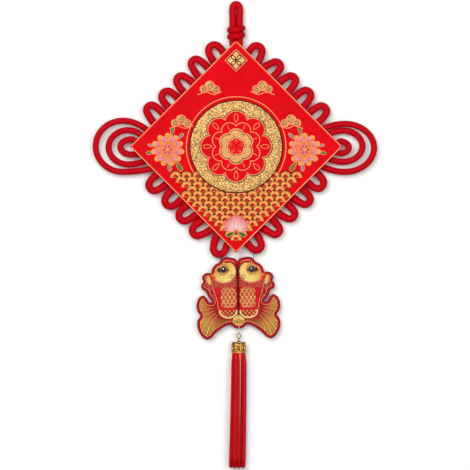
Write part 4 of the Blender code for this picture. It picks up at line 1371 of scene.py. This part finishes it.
    # Seam, coin and welt
    coat(soft(side - 1.5, 1.0) * soft(-22.0 - up), srgb(112, 8, 24))
    coin = np.hypot(side - COIN_AT[0], up - COIN_AT[1])
    coat(soft(coin - COIN_R, 0.4), srgb(240, 196, 112))
    coat(soft(np.abs(coin - COIN_R) - 0.5, 0.4), srgb(104, 30, 14))
    marks = np.abs(np.hypot(side - 4.3, up - COIN_AT[1] + 0.6) - 1.5)
    coat(soft(marks - 0.45, 0.3), srgb(150, 74, 30))
    square = np.maximum(side, np.abs(up - COIN_AT[1]))
    coat(soft(np.abs(square - 1.7) - 0.4, 0.3), srgb(120, 50, 22))
    coat(soft(inward - 3.9, 0.5), srgb(186, 10, 26))
    coat(soft(inward - 1.3, 1.0), MAROON)
    return colour


def pendant_line(pieces, line, width=0.9):
    """A raised line on both faces of the pendant, for both fish."""
    line = np.asarray(line, float)
    for hand in (-1, 1):
        flat = np.column_stack([hand * line[:, 0], line[:, 1]])
        half = pendant_half(flat, distances(flat, OUTLINE)) + 0.05
        for face in (-1, 1):
            tube(pieces, to_pendant(flat, face * half), width / 2 * MM, 6)


def build_pendant():
    flat, faces, rim = filled(OUTLINE, PENDANT_GRID, 0.7)
    inward = distances(flat, OUTLINE)
    half = pendant_half(flat, inward)
    colours = pendant_paint(flat, inward)
    verts = np.vstack([to_pendant(flat, -half), to_pendant(flat, half)])
    pendant = Pieces()
    pendant.add(verts, closed_faces(faces, rim, len(flat)), None, np.vstack([colours, colours]))
    piece = pendant.build("fish_pendant_plush", PLUSH, "printed_plush", ["fish_pendant"], 60, True)

    # Round the face, down the body, at the tail's root, inside the edge, and the tail's rays
    lines = Pieces()
    face_turns = np.linspace(-2.75, 0.2, 24)
    pendant_line(lines, [(18.4 + 17.0 * math.cos(turn), 35.0 + 15.2 * math.sin(turn)) for turn in face_turns])
    pendant_line(lines, [(27.5 + 0.30 * (up + 6), up) for up in np.linspace(20.0, -5.5, 12)])
    pendant_line(lines, [(27.6 - 0.018 * (-up - 6) ** 2, up) for up in np.linspace(-6.0, -26.0, 12)])
    along = np.roll(OUTLINE, -1, axis=0) - np.roll(OUTLINE, 1, axis=0)
    along /= np.linalg.norm(along, axis=1, keepdims=True)
    inner = OUTLINE + np.column_stack([along[:, 1], -along[:, 0]]) * 4.3
    kept = inside(inner, OUTLINE) & (distances(inner, OUTLINE) > 3.9) & (inner[:, 0] > 1.0)
    runs = np.split(np.arange(len(inner)), np.flatnonzero(np.diff(kept.astype(int)) != 0) + 1)
    for run in runs:
        if kept[run[0]] and len(run) > 5:
            pendant_line(lines, inner[run], 0.8)
    for n in range(7):
        turn = math.radians(38 - 15 * n)
        reach = np.linspace(13, 30, 8)
        ray = np.column_stack([TAIL_ROOT[0] + reach * math.cos(turn), TAIL_ROOT[1] + reach * math.sin(turn)])
        ray = ray[inside(ray, OUTLINE) & (distances(ray, OUTLINE) > 5.0)]
        if len(ray) > 3:
            pendant_line(lines, ray, 0.6)
    lines.build("pendant_lines", FOIL, "printed_plush")


# The threads

BACKWARD = Vector((0.0, 1.0, 0.0))


def through_hole(hole, leave, half):
    top = hole + leave * (half - THREAD_R)
    near = BACKWARD * 0.6 * half
    return [top - BACKWARD * half, hole - near, hole + near, top + BACKWARD * half]


def round_cord(centre, up, reach):
    steps = [math.pi * step / 6 for step in range(-1, 8)]
    return [centre + reach * (BACKWARD * math.cos(turn) + up * math.sin(turn)) for turn in steps]


def build_thread(ring, name, material, slot, replaced):
    thread = Pieces()
    tube(thread, smooth_line(np.array(ring), 5, True), THREAD_R, 10, True)
    thread.build(name, material, slot, [replaced])


def build_threads():
    side_half = PENDANT_EDGE * MM + GAP + THREAD_R
    for name, (across, up) in TIE_HOLES.items():
        hole = PENDANT_PLACE @ Vector((across, 0.0, up))
        cord = Vector((TIE_CORDS[name][0], 0.0, TIE_CORDS[name][1]))
        rise = (cord - hole).normalized()
        ring = through_hole(hole, rise, side_half) + round_cord(cord, rise, TIE_REACH)
        build_thread(ring, name + "_thread", DARK_THREAD, "dark_thread", name)
    hole = PENDANT_PLACE @ Vector((0.0, 0.0, HANGER_HOLE_UP))
    eye = Vector((TASSEL_X, 0.0, EYE_Z + EYE_TALL - EYE_WIRE_R - GAP - THREAD_R))
    rise = (hole - eye).normalized()
    ring = through_hole(eye, rise, side_half) + through_hole(hole, -rise, side_half)[::-1]
    build_thread(ring, "tassel_hanger_thread", PALE_THREAD, "pale_thread", "hanger_thread")


# The gilt eye and cap

def on_cap(angle, radius, height):
    return (TASSEL_X + radius * math.cos(angle), radius * math.sin(angle), height)


def turned(pieces, profile, steps=64):
    """A turned solid, from its profile of (radius, height). A hollow one closes on itself."""
    count = len(profile)
    verts = [on_cap(angle, *spot) for angle in turns(steps) for spot in profile]
    faces = []
    hollow = profile[0][0] > 1e-6
    for step in range(steps):
        ahead = (step + 1) % steps
        for n in range(count if hollow else count - 1):
            below = (n + 1) % count
            faces.append((step * count + n, step * count + below, ahead * count + below, ahead * count + n))
    pieces.add(verts, faces)


def build_eye():
    pin = Pieces()
    ring = [(TASSEL_X + EYE_WIDE * math.cos(turn), 0.0, EYE_Z + EYE_TALL * math.sin(turn))
            for turn in turns(48)]
    tube(pin, ring, EYE_WIRE_R, 14, True)
    tiny = 0.02 * MM
    collar_top = CAP_TOP_Z + GAP + COLLAR_TALL
    ring_foot = EYE_Z - EYE_TALL
    turned(pin, [
        (tiny, ring_foot + 0.5 * EYE_WIRE_R),
        (NECK_R, ring_foot + 0.4 * EYE_WIRE_R),
        (NECK_R * 0.85, (ring_foot + collar_top) / 2),
        (NECK_R, collar_top),
        (COLLAR_R * 0.8, collar_top),
        (COLLAR_R, collar_top - 0.4 * COLLAR_TALL),
        (COLLAR_R * 0.8, CAP_TOP_Z + GAP),
        (1.0 * MM, CAP_TOP_Z + GAP),
        (1.0 * MM, CAP_TOP_Z - CAP_WALL - GAP),
        (tiny, CAP_TOP_Z - CAP_WALL - GAP),
    ], 32)
    pin.build("eye_pin_gilt", EYE_GILT, "gilt_metal", ["eye_pin"], 40)


FILIGREE = 8


def oval(angle, half, away, height, reach):
    """A ring on the cap's side."""
    return [on_cap(angle + half * math.cos(turn), away, height + reach * math.sin(turn))
            for turn in turns(32)]


def build_cap():
    # The dark shell shows between the gilt wires: painted shade in the openwork's recesses
    shell = Pieces()
    inner = CAP_R - CAP_WALL
    turned(shell, [
        (1.3 * MM, CAP_TOP_Z),
        (CAP_R - 3.0 * MM, CAP_TOP_Z),
        (CAP_R - 1.2 * MM, CAP_TOP_Z - 0.7 * MM),
        (CAP_R - 0.5 * MM, CAP_TOP_Z - 2.2 * MM),
        (CAP_R - 0.5 * MM, CAP_FOOT_Z + 0.2 * MM),
        (CAP_R - 0.6 * MM, CAP_FOOT_Z),
        (inner, CAP_FOOT_Z),
        (inner, CAP_TOP_Z - 2.2 * MM),
        (CAP_R - 3.0 * MM, CAP_TOP_Z - CAP_WALL),
        (1.3 * MM, CAP_TOP_Z - CAP_WALL),
    ])
    shell.build("tassel_cap_shell", CAP_SHADE, "gilt_metal", ["tassel_cap"], 40)

    wires = Pieces()
    face_r = CAP_R - 0.35 * MM
    for height, wire in ((CAP_FOOT_Z + 0.6 * MM, 0.65), (CAP_FOOT_Z + 2.4 * MM, 0.4),
                         (CAP_TOP_Z - 3.4 * MM, 0.55)):
        hoop = [on_cap(turn, face_r, height) for turn in turns(72)]
        tube(wires, hoop, wire * MM, 8, True)
    low = CAP_FOOT_Z + 2.8 * MM
    high = CAP_TOP_Z - 3.8 * MM
    middle = (low + high) / 2
    reach = (high - low) / 2
    half = math.pi / FILIGREE
    for start in turns(FILIGREE):
        wide = oval(start, 0.88 * half, face_r + 0.15 * MM, middle, reach)
        narrow = oval(start + half, 0.5 * half, face_r + 0.1 * MM, middle, 0.9 * reach)
        tube(wires, wide, 0.42 * MM, 8, True)
        tube(wires, narrow, 0.34 * MM, 8, True)
        for height, share, size in ((middle, 0.0, 1.1), (CAP_FOOT_Z + 1.5 * MM, 0.0, 0.7),
                                    (CAP_FOOT_Z + 1.5 * MM, 1.0, 0.7)):
            knob = [on_cap(start + share * half, face_r - 0.4 * MM + step * size * MM, height)
                    for step in (0.0, 0.5, 0.9, 1.0)]
            tube(wires, knob, np.array([1.0, 0.85, 0.45, 0.1]) * size * MM, 10)
        petal = []
        for turn in np.linspace(0, math.pi, 15):
            height = CAP_TOP_Z - 3.2 * MM + 3.0 * MM * math.sin(turn)
            away = face_r - 0.35 * MM * math.sin(turn) ** 2
            petal.append(on_cap(start + 0.9 * half * math.cos(turn), away, height))
        tube(wires, petal, 0.5 * MM, 8)
        bead = [on_cap(start, face_r - 0.9 * MM, CAP_TOP_Z + step * MM)
                for step in (-0.9, -0.5, -0.1, 0.25, 0.4)]
        tube(wires, bead, np.array([0.9, 1.25, 1.3, 0.9, 0.2]) * MM, 12)
    wires.build("tassel_cap_filigree", CAP_GILT, "gilt_metal", sharp=50)


# The tassel

STRANDS = 460
STRAND_TOP_Z = CAP_TOP_Z - 4.0 * MM
STRAND_R = 0.46 * MM
STRAND_SIDES = 5
STRAND_POINTS = 15
TASSEL_TOP_R = 9.3 * MM
NECK_AT_CAP_R = 8.1 * MM
SEED = 11
# Painted highlight: the outer strands facing this way get a pale pink glint painted on them
PAINTED_GLINT_ANGLE = math.radians(-78)
PAINTED_GLINT_REACH = 0.993


def build_tassel():
    draw = random.Random(SEED)
    strands = Pieces()
    long = STRAND_TOP_Z - TASSEL_FOOT_Z
    for n in range(STRANDS):
        share_in = (n + 0.5) / STRANDS
        spread = share_in ** 0.42
        angle = n * math.pi * (3 - math.sqrt(5))
        clump = 0.07 * math.sin(9 * angle + 0.8) + 0.05 * math.sin(14 * angle + 2.0)
        bunch = 0.10 * math.sin(9 * angle + 2.4)
        foot = TASSEL_FOOT_Z + (0.2 + 6.0 * draw.random() ** 2 + 1.5 * math.sin(5 * angle) ** 2) * MM
        sway = draw.uniform(-0.5, 0.5) * MM
        phase = draw.uniform(0, 2 * math.pi)
        points = []
        for step in range(STRAND_POINTS):
            share = step / (STRAND_POINTS - 1)
            height = STRAND_TOP_Z + (foot - STRAND_TOP_Z) * share
            below_cap = min(max((CAP_FOOT_Z - height) / (5 * MM), 0.0), 1.0)
            wide = NECK_AT_CAP_R + (TASSEL_TOP_R - NECK_AT_CAP_R) * below_cap
            wide *= 1 + 0.13 * share
            reach = wide * (spread + (clump if spread > 0.8 else 0.0) * below_cap)
            at = angle + bunch * below_cap
            drift = TASSEL_DRIFT * ((CAP_FOOT_Z - height) / long) ** 1.5 if height < CAP_FOOT_Z else 0.0
            wave = sway * math.sin(phase + 5.0 * share) * share
            points.append((TASSEL_X + drift + reach * math.cos(at) + wave, reach * math.sin(at), height))
        # Partly painted shade: the first wave follows the clumps, so strands in the grooves between them are
        # darker; the second wave and the random factor spread the tone
        bright = 0.62 + 0.22 * math.sin(9 * angle + 0.8) + 0.22 * math.sin(13 * angle + 4.0)
        tone = np.array(darker(srgb(244, 8, 26), 0.50 + 0.55 * bright)) * draw.uniform(0.82, 1.0)
        # Painted highlight: a pale pink glint, fading down the strand, on the outer strands facing one way
        if spread > 0.86 and math.cos(angle - PAINTED_GLINT_ANGLE) > PAINTED_GLINT_REACH:
            fade = np.clip(np.linspace(1.1, -0.4, STRAND_POINTS), 0, 1)
            tone = np.repeat(mixed(tone, srgb(252, 132, 130), fade), STRAND_SIDES, axis=0)
        radii = np.full(STRAND_POINTS, STRAND_R) * draw.uniform(0.85, 1.15)
        radii[-1] *= 0.5
        tube(strands, points, radii, STRAND_SIDES, False, tone)
    strands.build("tassel_strands", SILK, "tassel_silk", ["tassel"], 180, True)


# The stage

WALL_Y = 11 * MM
FLOOR_Z = -0.75
STAGE_HALF = 3.0


def build_stage():
    """The wall behind the knot shows from its front alone and lets the light through, so that
    the knot's back is lit and can be seen."""
    paper, tree, shader = new_material("pale_paper")
    put_in(tree, shader, {"Base Color": (0.99, 0.985, 0.98, 1.0), "Roughness": 0.9})
    clear = add_node(tree, "ShaderNodeBsdfTransparent")
    behind = add_node(tree, "ShaderNodeNewGeometry").outputs["Backfacing"]
    path = add_node(tree, "ShaderNodeLightPath")
    front = math_node(tree, "SUBTRACT", 1.0, behind)
    seen = math_node(tree, "MULTIPLY", front, path.outputs["Is Camera Ray"])
    choice = add_node(tree, "ShaderNodeMixShader", {
        "Fac": math_node(tree, "SUBTRACT", 1.0, seen), 1: shader.outputs["BSDF"], 2: clear.outputs["BSDF"]})
    put_in(tree, tree.nodes["Material Output"], {"Surface": choice.outputs["Shader"]})
    far = STAGE_HALF
    wall = [(-far, WALL_Y, FLOOR_Z), (far, WALL_Y, FLOOR_Z), (far, WALL_Y, 1.6), (-far, WALL_Y, 1.6)]
    floor = [(-far, -far, FLOOR_Z), (far, -far, FLOOR_Z), (far, far, FLOOR_Z), (-far, far, FLOOR_Z)]
    for name, corners in (("pale_wall", wall), ("pale_floor", floor)):
        mesh = bpy.data.meshes.new(name)
        mesh.from_pydata(corners, [], [(0, 1, 2, 3)])
        mesh.materials.append(paper)
        link_up(name, mesh)


def add_light(name, place_at, watts):
    data = bpy.data.lights.new(name, "AREA")
    data.shape = "DISK"
    data.size = 1.6
    data.energy = watts
    light = link_up(name, data)
    light.location = place_at
    aim = Vector((0.0, 0.0, -0.3)) - Vector(place_at)
    light.rotation_euler = aim.to_track_quat("-Z", "Y").to_euler()


def build_lights():
    world = bpy.data.worlds.new("studio")
    world.use_nodes = True
    plain_sky = {"Color": (1.0, 1.0, 1.0, 1.0), "Strength": 0.36}
    put_in(world.node_tree, world.node_tree.nodes["Background"], plain_sky)
    bpy.context.scene.world = world
    add_light("key", (-0.7, -2.6, 0.5), 44.0)
    add_light("fill", (0.9, -2.6, -0.2), 24.0)
    bpy.context.scene.view_settings.view_transform = "Standard"


for build in (build_cord, build_board, build_disc, build_blossom, build_blossom_centre, build_emblem,
              build_side_flowers, build_clouds, build_waves, build_lotus, build_pendant, build_threads,
              build_eye, build_cap, build_tassel, build_stage, build_lights):
    build()
